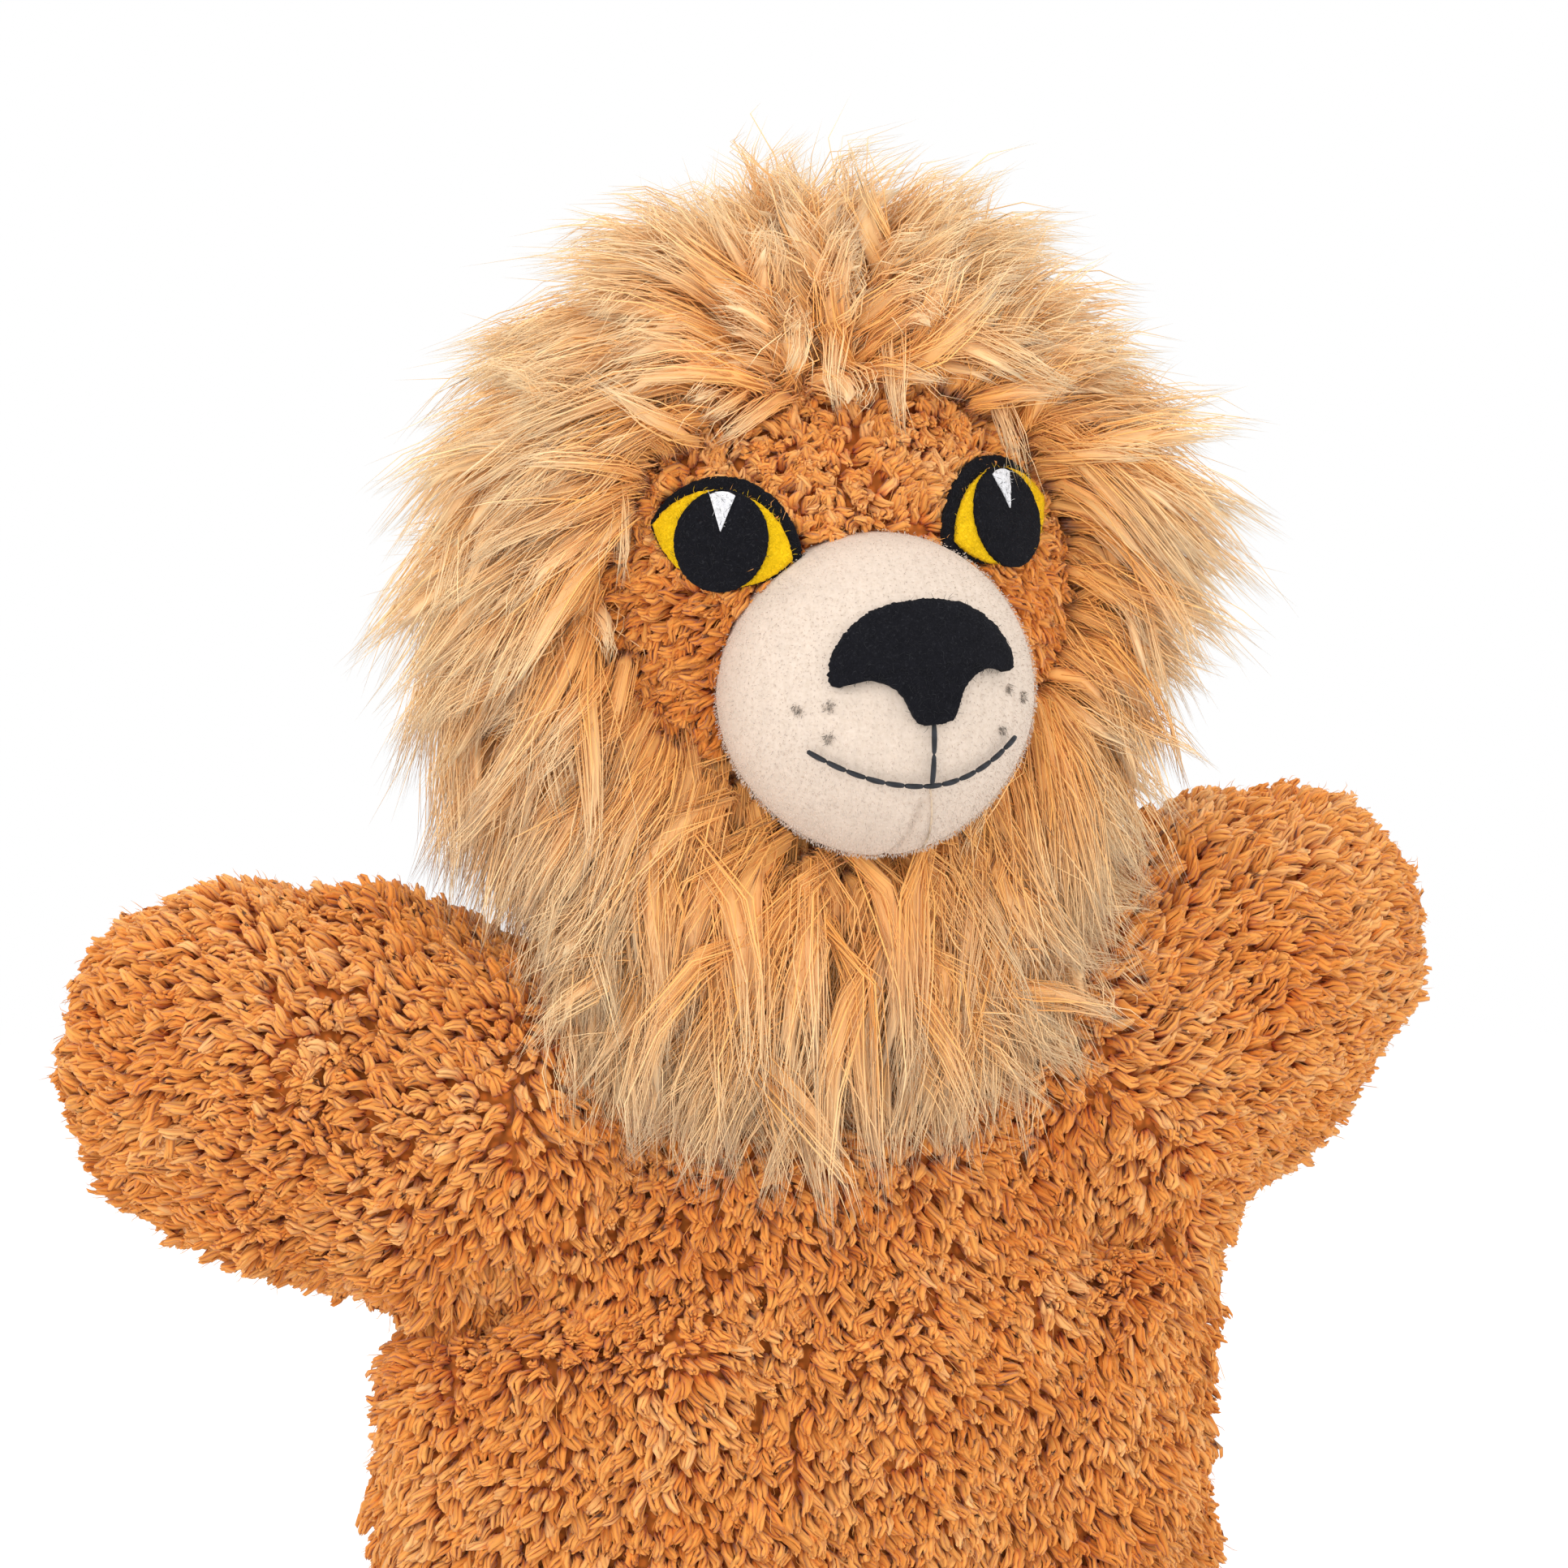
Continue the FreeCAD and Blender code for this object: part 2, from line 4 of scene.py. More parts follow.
import bpy
import numpy as np
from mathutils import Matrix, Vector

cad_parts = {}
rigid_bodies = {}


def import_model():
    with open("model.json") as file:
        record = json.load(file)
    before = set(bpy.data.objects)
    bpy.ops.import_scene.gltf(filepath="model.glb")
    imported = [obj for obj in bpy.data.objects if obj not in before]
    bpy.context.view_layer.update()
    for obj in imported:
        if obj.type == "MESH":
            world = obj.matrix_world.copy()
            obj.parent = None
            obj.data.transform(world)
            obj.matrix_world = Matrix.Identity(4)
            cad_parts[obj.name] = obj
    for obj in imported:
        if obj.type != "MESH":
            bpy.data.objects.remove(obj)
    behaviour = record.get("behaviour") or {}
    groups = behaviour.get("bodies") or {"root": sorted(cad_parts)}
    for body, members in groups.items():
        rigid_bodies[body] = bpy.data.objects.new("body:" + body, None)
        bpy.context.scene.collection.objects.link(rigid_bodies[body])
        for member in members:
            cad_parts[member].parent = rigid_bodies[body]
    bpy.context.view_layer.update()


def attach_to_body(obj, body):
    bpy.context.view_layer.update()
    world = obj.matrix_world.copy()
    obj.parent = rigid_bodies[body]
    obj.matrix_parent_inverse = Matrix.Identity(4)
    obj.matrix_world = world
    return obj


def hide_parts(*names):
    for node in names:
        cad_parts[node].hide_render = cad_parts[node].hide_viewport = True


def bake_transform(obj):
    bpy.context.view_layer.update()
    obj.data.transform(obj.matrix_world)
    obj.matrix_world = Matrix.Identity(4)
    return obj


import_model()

# A lion glove puppet.
MM = 0.001
rng = np.random.default_rng(20240)
SIDES = {"right": -1, "left": 1}

# ---------- small tools


def unit(v):
    return v / np.maximum(np.linalg.norm(v, axis=-1, keepdims=True), 1e-9)


def smooth(t):
    t = np.clip(t, 0, 1)
    return t * t * (3 - 2 * t)


def soft_min(a, b, reach):
    """The lower of two fields, rounded where they meet."""
    h = np.clip(0.5 + 0.5 * (b - a) / reach, 0, 1)
    return b + (a - b) * h - reach * h * (1 - h)


def soft_max(a, b, reach):
    return -soft_min(-a, -b, reach)


def waves(p, size, seed):
    """Smooth noise of about -1 to 1 at points, with features of the given size and half of it."""
    draw = np.random.default_rng(seed)
    total = np.zeros(len(p))
    for octave in range(2):
        turns = draw.normal(size=(5, 3)) * 2 * np.pi / size * 2**octave / 1.7
        phases = draw.uniform(0, 2 * np.pi, 5)
        total += np.sin(p @ turns.T + phases).sum(1) / 2.2 / 1.6**octave
    return total


def wave_field(p, size, *seeds):
    """Three smooth noises as a vector at each point."""
    return np.stack([waves(p, size, seed) for seed in seeds], 1)


def lengthwise(line):
    """How far along a line each of its points lies."""
    return np.concatenate([[0], np.cumsum(np.linalg.norm(np.diff(line, axis=0), axis=1))])


def points_at(line, at):
    """The places at given distances along a line."""
    run = lengthwise(line)
    return np.stack([np.interp(at, run, column) for column in line.T], -1)


def ring_quads(rows, count, first=0, closed=False):
    """Quads between rings of points; closed also joins the last ring to the first one."""
    j, k = np.meshgrid(np.arange(rows if closed else rows - 1), np.arange(count), indexing="ij")
    after, ahead = (k + 1) % count, (j + 1) % rows
    quads = [j * count + k, j * count + after, ahead * count + after, ahead * count + k]
    return first + np.stack(quads, -1).reshape(-1, 4)


# ---------- materials


def material(name, roughness, sheen=0.0, specular=0.3):
    """A new material, its Principled shader and a function that adds nodes."""
    made = bpy.data.materials.new(name)
    made.use_nodes = True
    tree = made.node_tree
    shader = tree.nodes["Principled BSDF"]
    surface = {"Roughness": roughness, "Specular IOR Level": specular, "Sheen Weight": sheen}
    for key, value in {**surface, "Sheen Roughness": 0.5}.items():
        shader.inputs[key].default_value = value

    def add(kind, inputs=None, **settings):
        node = tree.nodes.new(f"ShaderNode{kind}")
        for key, value in settings.items():
            setattr(node, key, value)
        for key, value in (inputs or {}).items():
            feed(node.inputs[key], value)
        return node

    return made, shader, add


def feed(socket, value):
    """Link a node's output to a socket, or set the socket to a number or colour."""
    if isinstance(value, bpy.types.NodeSocket):
        socket.id_data.links.new(value, socket)
    elif socket.type == "RGBA" and hasattr(value, "__len__"):
        socket.default_value = (*value, 1)
    else:
        socket.default_value = value


def ramp(add, value, stops):
    node = add("ValToRGB", {"Fac": value})
    points = node.color_ramp.elements
    while len(points) < len(stops):
        points.new(0.5)
    for point, (place, colour) in zip(points, stops):
        point.position = place
        point.color = (*colour, 1)
    return node.outputs["Color"]


def mix(add, share, a, b, blend="MIX"):
    node = add("Mix", {0: share, 6: a, 7: b}, data_type="RGBA", blend_type=blend)
    return node.outputs[2]


def shaded(add, colour, value, *stops):
    """A colour made darker or lighter by a grey, from (place, brightness) stops."""
    brightness = ramp(add, value, [(place, (level,) * 3) for place, level in stops])
    return mix(add, 1.0, colour, brightness, "MULTIPLY")


def texture(add, kind, inputs, **settings):
    """The grey of a texture fixed to the object."""
    return add(kind, {"Vector": add("TexCoord").outputs["Object"], **inputs}, **settings).outputs["Fac"]


def noise(add, scale, detail=3.0, distortion=0.0):
    return texture(add, "TexNoise", {"Scale": scale, "Detail": detail, "Distortion": distortion})


def bands(add, scale, direction, distortion, detail=1.0):
    inputs = {"Scale": scale, "Detail": detail, "Distortion": distortion}
    return texture(add, "TexWave", inputs, bands_direction=direction)


def finish(add, shader, colour, height, strength, distance):
    """Give a shader its colour and its small bumps."""
    feed(shader.inputs["Base Color"], colour)
    relief = add("Bump", {"Height": height, "Strength": strength, "Distance": distance})
    feed(shader.inputs["Normal"], relief.outputs["Normal"])


def dim(colour, share):
    return tuple(c * share for c in colour)


def pile(name, tones, root=None, tip=None, streaks=7.0, roughness=0.8, sheen=0.15, deep=0.55):
    """Fibres: the map's u picks a tone and v runs from the root to the tip."""
    made, shader, add = material(name, roughness, sheen, specular=0.15)
    place = add("SeparateXYZ", {"Vector": add("UVMap", uv_map="OFBake").outputs["UV"]})
    u, v = place.outputs["X"], place.outputs["Y"]
    colour = ramp(add, u, tones)
    # root: painted shade, the deeper, more saturated orange that light takes between the fibres near their
    # roots; deep is the share of each fibre's length over which it fades out
    if root:
        depth = ramp(add, v, [(0.0, (0, 0, 0)), (deep, (1, 1, 1))])
        colour = mix(add, depth, root, colour)
    # tip: the fibres' paler ends, partly their own colour and partly painted highlight
    if tip:
        end = ramp(add, v, [(0.5, (0, 0, 0)), (0.95, (0.75,) * 3)])
        colour = mix(add, end, colour, tip)
    across = add("CombineXYZ", {"X": u}).outputs[0]
    wave = add("TexWave", {"Vector": across, "Scale": streaks, "Distortion": 1.5, "Detail": 1.0})
    feed(shader.inputs["Base Color"], shaded(add, colour, wave.outputs["Fac"], (0.0, 0.86), (1.0, 1.06)))
    return made


def felt(name, colour, fleck):
    """Pressed felt: matted fibres, paler flecks and a rough surface."""
    made, shader, add = material(name, roughness=1.0, sheen=0.02, specular=0.05)
    matted = noise(add, 2200.0, distortion=1.0)
    colour = ramp(add, matted, [(0.32, dim(colour, 0.72)), (0.6, colour), (0.74, fleck)])
    colour = shaded(add, colour, noise(add, 420.0, detail=2.0), (0.3, 0.88), (0.7, 1.08))
    finish(add, shader, colour, matted, strength=0.7, distance=0.0004)
    return made


def plush(name, colour, hollow_shade):
    """Short velour pile over a knit whose rows show faintly."""
    made, shader, add = material(name, roughness=0.95, sheen=0.1, specular=0.1)
    fibres = noise(add, 1500.0)
    # the darker colour is painted shade in the hollows between the pile's fibres
    colour = ramp(add, fibres, [(0.3, hollow_shade), (0.6, colour)])
    colour = shaded(add, colour, noise(add, 130.0), (0.3, 0.96), (0.7, 1.02))
    for scale, direction, low in ((150.0, "Z", 0.985), (125.0, "X", 0.97)):
        colour = shaded(add, colour, bands(add, scale, direction, distortion=2.0), (0.0, low), (0.5, 1.0))
    finish(add, shader, colour, fibres, strength=0.5, distance=0.0003)
    return made


def knit(name, colour):
    """Knitted backing: rows of small loops with uneven dye."""
    made, shader, add = material(name, roughness=0.9, sheen=0.15, specular=0.2)
    rows, columns = (bands(add, 1000 / 7, direction, distortion=1.2) for direction in "ZX")
    loops = add("Math", {0: rows, 1: columns}, operation="MULTIPLY").outputs[0]
    colour = ramp(add, loops, [(0.0, dim(colour, 0.6)), (0.6, colour)])
    colour = shaded(add, colour, noise(add, 60.0), (0.3, 0.85), (0.7, 1.1))
    finish(add, shader, colour, loops, strength=0.6, distance=0.0004)
    return made


def thread(name, colour):
    """Twisted sewing thread."""
    made, shader, add = material(name, roughness=0.55, sheen=0.1, specular=0.3)
    ply = bands(add, 5000 / 21, "DIAGONAL", distortion=0.6, detail=2.0)
    colour = ramp(add, ply, [(0.1, dim(colour, 0.55)), (0.8, colour)])
    finish(add, shader, colour, ply, strength=0.5, distance=0.0002)
    return made


def card(name):
    """Wound cardboard: fibres and the spiral joint of its plies."""
    made, shader, add = material(name, roughness=0.85, sheen=0.0, specular=0.25)
    fibres = noise(add, 900.0, detail=4.0)
    colour = ramp(add, fibres, [(0.3, (0.3, 0.2, 0.12)), (0.7, (0.5, 0.36, 0.23))])
    joint = bands(add, 6.0, "DIAGONAL", distortion=0.4, detail=2.0)
    colour = shaded(add, colour, joint, (0.0, 0.6), (0.06, 1.0))
    finish(add, shader, colour, fibres, strength=0.3, distance=0.0002)
    return made


TAN_TONES = [
    (0.0, (0.70, 0.21, 0.030)),
    (0.35, (0.81, 0.30, 0.056)),
    (0.7, (0.86, 0.375, 0.092)),
    (1.0, (0.91, 0.48, 0.18)),
]
MANE_TONES = [
    (0.0, (0.95, 0.43, 0.11)),
    (0.3, (0.98, 0.53, 0.18)),
    (0.65, (1.0, 0.62, 0.26)),
    (1.0, (1.0, 0.74, 0.42)),
]
CREAM_TONES = [(0.0, (0.12, 0.11, 0.10)), (0.25, (0.60, 0.49, 0.40)), (1.0, (0.79, 0.67, 0.58))]
# the root colours here and below are painted shade deep in the pile
tan_pile = pile("tan_pile", TAN_TONES, root=(0.92, 0.20, 0.016))
# the mane's tip colour is partly the hair's own paler ends and partly painted highlight
mane_pile = pile(
    "mane_pile", MANE_TONES, root=(1.0, 0.45, 0.09), tip=(1.0, 0.78, 0.50),
    roughness=0.7, sheen=0.2, deep=0.8,
)
cream_pile = pile("cream_pile", CREAM_TONES, streaks=1.0)
# the second colour is painted shade in the hollows of the pile
velour = plush("velour", (0.71, 0.595, 0.50), (0.655, 0.54, 0.44))
backing = knit("backing", (0.74, 0.22, 0.035))
mane_backing = knit("mane_backing", (0.84, 0.42, 0.14))
black_thread = thread("black_thread", (0.016, 0.018, 0.024))
brown_thread = thread("brown_thread", (0.22, 0.085, 0.03))
tan_thread = thread("tan_thread", (0.5, 0.22, 0.08))
seam_thread = thread("seam_thread", (0.62, 0.48, 0.34))
kraft = card("kraft")


def felt_kind(name, colour, fleck, dark, light):
    """A felt's material, the material of its loose fibres, and its slot."""
    fuzz = pile(f"fuzz_{name}", [(0.0, dark), (1.0, light)], sheen=0.0)
    return felt(f"{name}_felt", colour, fleck), fuzz, f"{name}_felt"


BLACK = felt_kind(
    "black", (0.010, 0.010, 0.013), fleck=(0.028, 0.028, 0.032),
    dark=(0.010, 0.010, 0.012), light=(0.03, 0.03, 0.034),
)
YELLOW = felt_kind(
    "yellow", (0.84, 0.51, 0.008), fleck=(0.90, 0.62, 0.03), dark=(0.8, 0.49, 0.01), light=(0.9, 0.6, 0.02)
)
WHITE = felt_kind(
    "white", (0.84, 0.84, 0.87), fleck=(0.92, 0.92, 0.94), dark=(0.7, 0.7, 0.7), light=(0.85, 0.85, 0.85)
)

# ---------- meshes

SLOPE_STEP = 0.4


def make(name, points, faces, coat, uv=None):
    """A mesh object from points in millimetres and an array, or a list of arrays, of faces."""
    faces = [f for f in (faces if isinstance(faces, list) else [faces]) if len(f)]
    mesh = bpy.data.meshes.new(name)
    mesh.vertices.add(len(points))
    mesh.vertices.foreach_set("co", (points * MM).astype(np.float32).ravel())
    corners = np.concatenate([f.ravel() for f in faces]).astype(np.int32)
    sizes = np.concatenate([np.full(len(f), f.shape[1]) for f in faces])
    mesh.loops.add(len(corners))
    mesh.loops.foreach_set("vertex_index", corners)
    mesh.polygons.add(len(sizes))
    mesh.polygons.foreach_set("loop_start", (np.cumsum(sizes) - sizes).astype(np.int32))
    mesh.polygons.foreach_set("use_smooth", np.ones(len(sizes), bool))
    mesh.materials.append(coat)
    if uv is not None:
        layer = mesh.uv_layers.new(name="OFBake")
        layer.uv.foreach_set("vector", uv[corners].astype(np.float32).ravel())
    mesh.update(calc_edges=True)
    item = bpy.data.objects.new(name, mesh)
    bpy.context.scene.collection.objects.link(item)
    return item


def ride(item, body, slot_name, *nodes):
    """Let a piece follow a body, and hide the CAD nodes that it replaces; slot_name is not used."""
    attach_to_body(item, body)
    if nodes:
        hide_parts(*nodes)


def crossings(values, grid, step, axis):
    """Where a field changes sign along one axis of a grid: cells, places and which side is inside."""
    ahead, behind = [slice(None)] * 3, [slice(None)] * 3
    ahead[axis], behind[axis] = slice(1, None), slice(None, -1)
    a, b = values[tuple(behind)], values[tuple(ahead)]
    at = np.argwhere((a < 0) != (b < 0))
    start, end = a[tuple(at.T)], b[tuple(at.T)]
    place = grid[tuple(at.T)].copy()
    place[:, axis] += step * start / (start - end)
    return at, place, start < 0


def net(field, low, high, step):
    """Points and quads of the surface where a field is zero, inside a box."""
    axes = [np.arange(a, b + step, step) for a, b in zip(low, high)]
    shape = tuple(len(a) for a in axes)
    grid = np.stack(np.meshgrid(*axes, indexing="ij"), -1)
    values = field(grid.reshape(-1, 3)).reshape(shape)
    cells = tuple(n - 1 for n in shape)
    total, count = np.zeros((np.prod(cells), 3)), np.zeros(np.prod(cells))
    found = []
    for axis in range(3):
        at, place, inward = crossings(values, grid, step, axis)
        other = [k for k in range(3) if k != axis]
        around, usable = [], np.ones(len(at), bool)
        for da, db in ((-1, -1), (0, -1), (0, 0), (-1, 0)):
            cell = at.copy()
            cell[:, other] += (da, db)
            good = ((cell >= 0) & (cell < cells)).all(1)
            usable &= good
            index = np.ravel_multi_index(tuple(np.clip(cell, 0, np.array(cells) - 1).T), cells)
            np.add.at(total, index[good], place[good])
            np.add.at(count, index[good], 1)
            around.append(index)
        quads = np.stack(around, 1)[usable]
        turn = inward[usable] == (axis != 1)
        quads[~turn] = quads[~turn][:, ::-1]
        found.append(quads)
    used, quads = np.unique(np.concatenate(found), return_inverse=True)
    points = total[used] / count[used][:, None]
    for _ in range(3):
        slope, value = gradient(field, points)
        points -= np.clip(value, -step, step)[:, None] * slope
    return points, quads.reshape(-1, 4)


def gradient(field, p):
    """The unit slope of a field at points, and its distance-like value there."""
    value = field(p)
    slope = np.stack([field(p + SLOPE_STEP * e) - value for e in np.eye(3)], 1) / SLOPE_STEP
    size = np.maximum(np.linalg.norm(slope, axis=1, keepdims=True), 1e-6)
    return slope / size, value / size[:, 0]


def settled(points, way, field, height, limit, pace, times):
    """Points moved along a direction, step by step, until they lie at a height over a surface."""
    for _ in range(times):
        points = points - np.clip(field(points) - height, -limit, limit)[:, None] * way * pace
    return points


def shell(points, quads, field, thickness):
    """A surface given an inner wall, closed along its open edges."""
    normal = gradient(field, points)[0]
    n = len(points)
    edges = np.concatenate([quads[:, [k, (k + 1) % 4]] for k in range(4)])
    key = np.sort(edges, 1) @ np.array([n, 1])
    _, first, times = np.unique(key, return_index=True, return_counts=True)
    rim = edges[first[times == 1]]
    walls = np.stack([rim[:, 1], rim[:, 0], rim[:, 0] + n, rim[:, 1] + n], 1)
    inner = points - thickness * normal
    inner[:, 2] = np.where(points[:, 2] < 0.5, points[:, 2], inner[:, 2])
    return np.concatenate([points, inner]), np.concatenate([quads, quads[:, ::-1] + n, walls])


def piece_of(points, quads, keep):
    """The part of a surface made of the kept quads."""
    used, faces = np.unique(quads[keep], return_inverse=True)
    return points[used], faces.reshape(-1, 4)


def along_surface(v, normal):
    """A vector without its part across the surface."""
    return v - (v * normal).sum(1, keepdims=True) * normal


def strands(paths, radii, tone, sides=3, flat=1.0, spin=0.0, places=None, facing=None, stripes=0.006):
    """Points, faces and map of closed tapered fibres along paths of shape (n, rings, 3)."""
    n, rings = paths.shape[:2]
    along = unit(np.gradient(paths, axis=1))
    helper = rng.normal(size=(n, 1, 3)) if facing is None else facing
    across = unit(np.cross(along, helper))
    other = np.cross(across, along)
    inside = np.arange(1, rings - 1)
    k = np.arange(sides)
    after = (k + 1) % sides
    angle = 2 * np.pi * k / sides + np.broadcast_to(spin, (n, rings))[:, inside, None]
    ring = (
        np.cos(angle)[..., None] * across[:, inside, None]
        - flat * np.sin(angle)[..., None] * other[:, inside, None]
    )
    ring = paths[:, inside, None] + ring * radii[:, inside, None, None]
    points = np.concatenate([paths[:, :1], paths[:, -1:], ring.reshape(n, -1, 3)], 1)
    # each strand's root and tip points come first, then its rings
    base = (np.arange(n) * (2 + len(inside) * sides))[:, None]
    last = 2 + (len(inside) - 1) * sides
    roots = np.stack([np.zeros(sides, int), 2 + after, 2 + k], 1)
    tips = np.stack([np.ones(sides, int), last + k, last + after], 1)
    tris = np.concatenate([roots, tips]).ravel()[None] + base
    quads = ring_quads(len(inside), sides, first=2).ravel()[None] + base
    v = np.linspace(0, 1, rings) if places is None else np.asarray(places)
    shift = 0.006 * np.sin(2 * np.pi * k / sides + 0.6) + stripes * rng.uniform(-1, 1, (n, sides))
    u = np.concatenate([np.zeros((n, 2)), np.tile(shift, (1, len(inside)))], 1)
    v = np.concatenate([[0.01, 0.99], np.repeat(v[inside], sides)])
    uv = np.stack([np.clip(tone[:, None] * 0.96 + 0.02 + u, 0.002, 0.998), np.tile(v, (n, 1))], 2)
    return points.reshape(-1, 3), [tris.reshape(-1, 3), quads.reshape(-1, 4)], uv.reshape(-1, 2)


def joined(parts):
    """Several results of strands as one."""
    shift = np.cumsum([0] + [len(p[0]) for p in parts])
    faces = [np.concatenate([p[1][k] + first for p, first in zip(parts, shift)]) for k in range(2)]
    return np.concatenate([p[0] for p in parts]), faces, np.concatenate([p[2] for p in parts])


def fur(name, built, coat):
    points, faces, uv = built
    return make(name, points, faces, coat, uv)


def thread_piece(name, paths, radius, coat, sides, **more):
    """Thread along paths of shape (n, rings, 3), as thick as radius says at each ring."""
    n, rings = paths.shape[:2]
    points, faces, _ = strands(paths, np.broadcast_to(radius, (n, rings)), np.full(n, 0.5), sides, **more)
    return make(name, points, faces, coat)


LOCK_PLACES = np.array((0.0, 0.27, 0.55, 0.8, 0.95, 1.0))
LOCK_SHAPE = np.array((0.5, 0.85, 1.04, 0.96, 0.62, 0.0))
LOCK_BUNDLES = 4
LOOSE_PLACES = np.array((0.25, 0.55, 0.85, 1.12))
LOOSE_RADII = np.array((0.05, 0.075, 0.06, 0.03))


def locks(root, normal, nap, length, width, tone, lift, curl):
    """Soft locks: each of a few bundles of fibres twisted round each other, with a loose fibre."""
    n, rings = len(root), len(LOCK_PLACES)
    t = LOCK_PLACES[None, :, None]
    start = unit(normal + 0.2 * rng.normal(size=(n, 3)))
    lean = unit(nap + lift * normal)
    long, wide = length[:, None, None], width[:, None, None]
    bow = 0.42 * start[:, None] * t * (1.7 - 0.7 * t) + 0.78 * lean[:, None] * t**1.3
    path = root[:, None] + long * bow
    side = unit(np.cross(lean, normal))[:, None]
    up = np.cross(side, lean[:, None])
    phase = rng.uniform(0, 2 * np.pi, (n, 1, 1))
    swing = long * curl * 0.13 * t
    path = path + swing * (side * np.sin(phase + 5.0 * t) + up * 0.6 * np.cos(phase + 5.0 * t))
    path = path - start[:, None] * long * 0.1 * np.maximum(t - 0.7, 0)
    shape = LOCK_SHAPE[None, :, None] * wide
    twist = rng.uniform(1.2, 3.4, (n, 1, 1)) * rng.choice((-1, 1), (n, 1, 1))
    parts = []
    for k in range(LOCK_BUNDLES):
        angle = phase + 2 * np.pi * k / LOCK_BUNDLES + twist * t
        apart = 0.64 * (0.35 * wide + 0.65 * shape)
        way = path + apart * (side * np.cos(angle) + up * np.sin(angle))
        way = way[:, :1] + (way - way[:, :1]) * rng.uniform(0.84, 1.04, (n, 1, 1))
        radii = 0.56 * shape[..., 0] * rng.uniform(0.8, 1.15, (n, rings))
        shade = np.clip(tone + 0.06 * rng.normal(size=n), 0, 1)
        spin = rng.uniform(0, 6, (n, 1))
        parts.append(strands(way, radii, shade, spin=spin, places=LOCK_PLACES, stripes=0.05))
    parts.append(loose_fibres(path, side, up, wide, tone))
    return joined(parts)


def loose_fibres(path, side, up, wide, tone):
    """One thin fibre round each lock, reaching past its tip."""
    n = len(path)
    at = LOOSE_PLACES[None, :, None]
    past_tip = path[:, 5] + 0.8 * (path[:, 5] - path[:, 4])
    way = np.stack([path[:, 1], path[:, 2], path[:, 4], past_tip], 1)
    around = rng.uniform(0, 2 * np.pi, (n, 1, 1)) + rng.uniform(-1.5, 1.5, (n, 1, 1)) * at
    off = wide * rng.uniform(0.85, 1.5, (n, 1, 1))
    way = way + off * (side * np.cos(around) + up * np.sin(around))
    way = way + 0.5 * rng.normal(size=(n, 1, 3)) * at**2
    shade = np.clip(tone + 0.12 + 0.1 * rng.normal(size=n), 0, 1)
    return strands(way, np.tile(LOOSE_RADII, (n, 1)), shade, places=(0.3, 0.6, 0.9, 1.0))


# ---------- forms, in millimetres

HEAD = np.array((0.0, -5.0, 222.0))
HEAD_HALF = np.array((49.0, 38.0, 46.0))
MUZZLE = np.array((0.0, -41.0, 205.0))
MUZZLE_RADIUS = 29.0
SHOULDER = np.array((52.0, 0.0, 118.0))
SWING_BACK = math.radians(16)
ARM_LIFT = {"right": math.radians(19), "left": math.radians(25)}
PAW_REACH = {"right": 38.8, "left": 40.8}
PAW_HALF = (47.5, 28.5, 37.0)
ARM_ROOT_REACH = 12
ARM_ROOT_HALF = (34.0, 30.0, 36.6)
BODY_LEVELS = (0, 45, 78)
BODY_HALF_WIDTHS = (84, 81.5, 80)
BODY_HALF_DEPTHS = (41, 39.5, 39)
BODY_TOP = 92
CHEST = (0, 0, 78.0)
CHEST_HALF = (62.0, 38.5, 74.0)


def egg(p, centre, half, turn=None):
    """Nearly the distance to an ellipsoid's surface."""
    q = p - centre if turn is None else (p - centre) @ turn.T
    near = np.linalg.norm(q / half, axis=1)
    return near * (near - 1) / np.maximum(np.linalg.norm(q / np.square(half), axis=1), 1e-9)


def arm_axes(side):
    """Rows: along the arm, across it and up it. And the shoulder's place."""
    s, lift = SIDES[side], ARM_LIFT[side]
    level = math.cos(lift)
    along = np.array((s * math.cos(SWING_BACK) * level, math.sin(SWING_BACK) * level, math.sin(lift)))
    across = unit(np.array((-s * math.sin(SWING_BACK), math.cos(SWING_BACK), 0.0)))
    up = np.cross(along, across) * s
    return np.array((along, across, up)), SHOULDER * (s, 1, 1)


def arm_form(p, side):
    axes, shoulder = arm_axes(side)
    along, _, up = axes
    paw = egg(p, shoulder + PAW_REACH[side] * along + 0.6 * up, PAW_HALF, axes)
    root = egg(p, shoulder + ARM_ROOT_REACH * along + 0.4 * up, ARM_ROOT_HALF, axes)
    return soft_min(paw, root, 8)


def glove_form(p):
    """The outside of the glove's pile."""
    x, y, z = p[:, 0] - 0.6, p[:, 1], p[:, 2]
    a = np.interp(z, BODY_LEVELS, BODY_HALF_WIDTHS)
    b = np.interp(z, BODY_LEVELS, BODY_HALF_DEPTHS)
    near = np.hypot(x / a, y / b)
    tube = near * (near - 1) / np.maximum(np.hypot(x / a**2, y / b**2), 1e-9)
    tube = soft_max(tube, z - BODY_TOP - 0.075 * x, 9)
    body = soft_min(tube, egg(p, CHEST, CHEST_HALF), 12)
    for side in SIDES:
        body = soft_min(body, arm_form(p, side), 13)
    # shallow dents and folds of soft fabric
    return body + (1.1 * waves(p, 46.0, 3) + 0.5 * waves(p, 19.0, 4))


def head_form(p):
    return egg(p, HEAD, HEAD_HALF)


def muzzle_form(p):
    """A ball that narrows towards the chin, with a groove at the chin's seam."""
    x, y, z = ((p - MUZZLE) / MUZZLE_RADIUS).T
    wide = 1 - 0.10 * np.clip(-z, 0, 1.2) ** 2
    r = np.sqrt((x / wide) ** 2 + y**2 + (z / 1.02) ** 2)
    groove = 0.035 * np.exp(-((x / 0.035) ** 2)) * smooth((-z - 0.5) / 0.1)
    return (r - 1 + groove) * MUZZLE_RADIUS


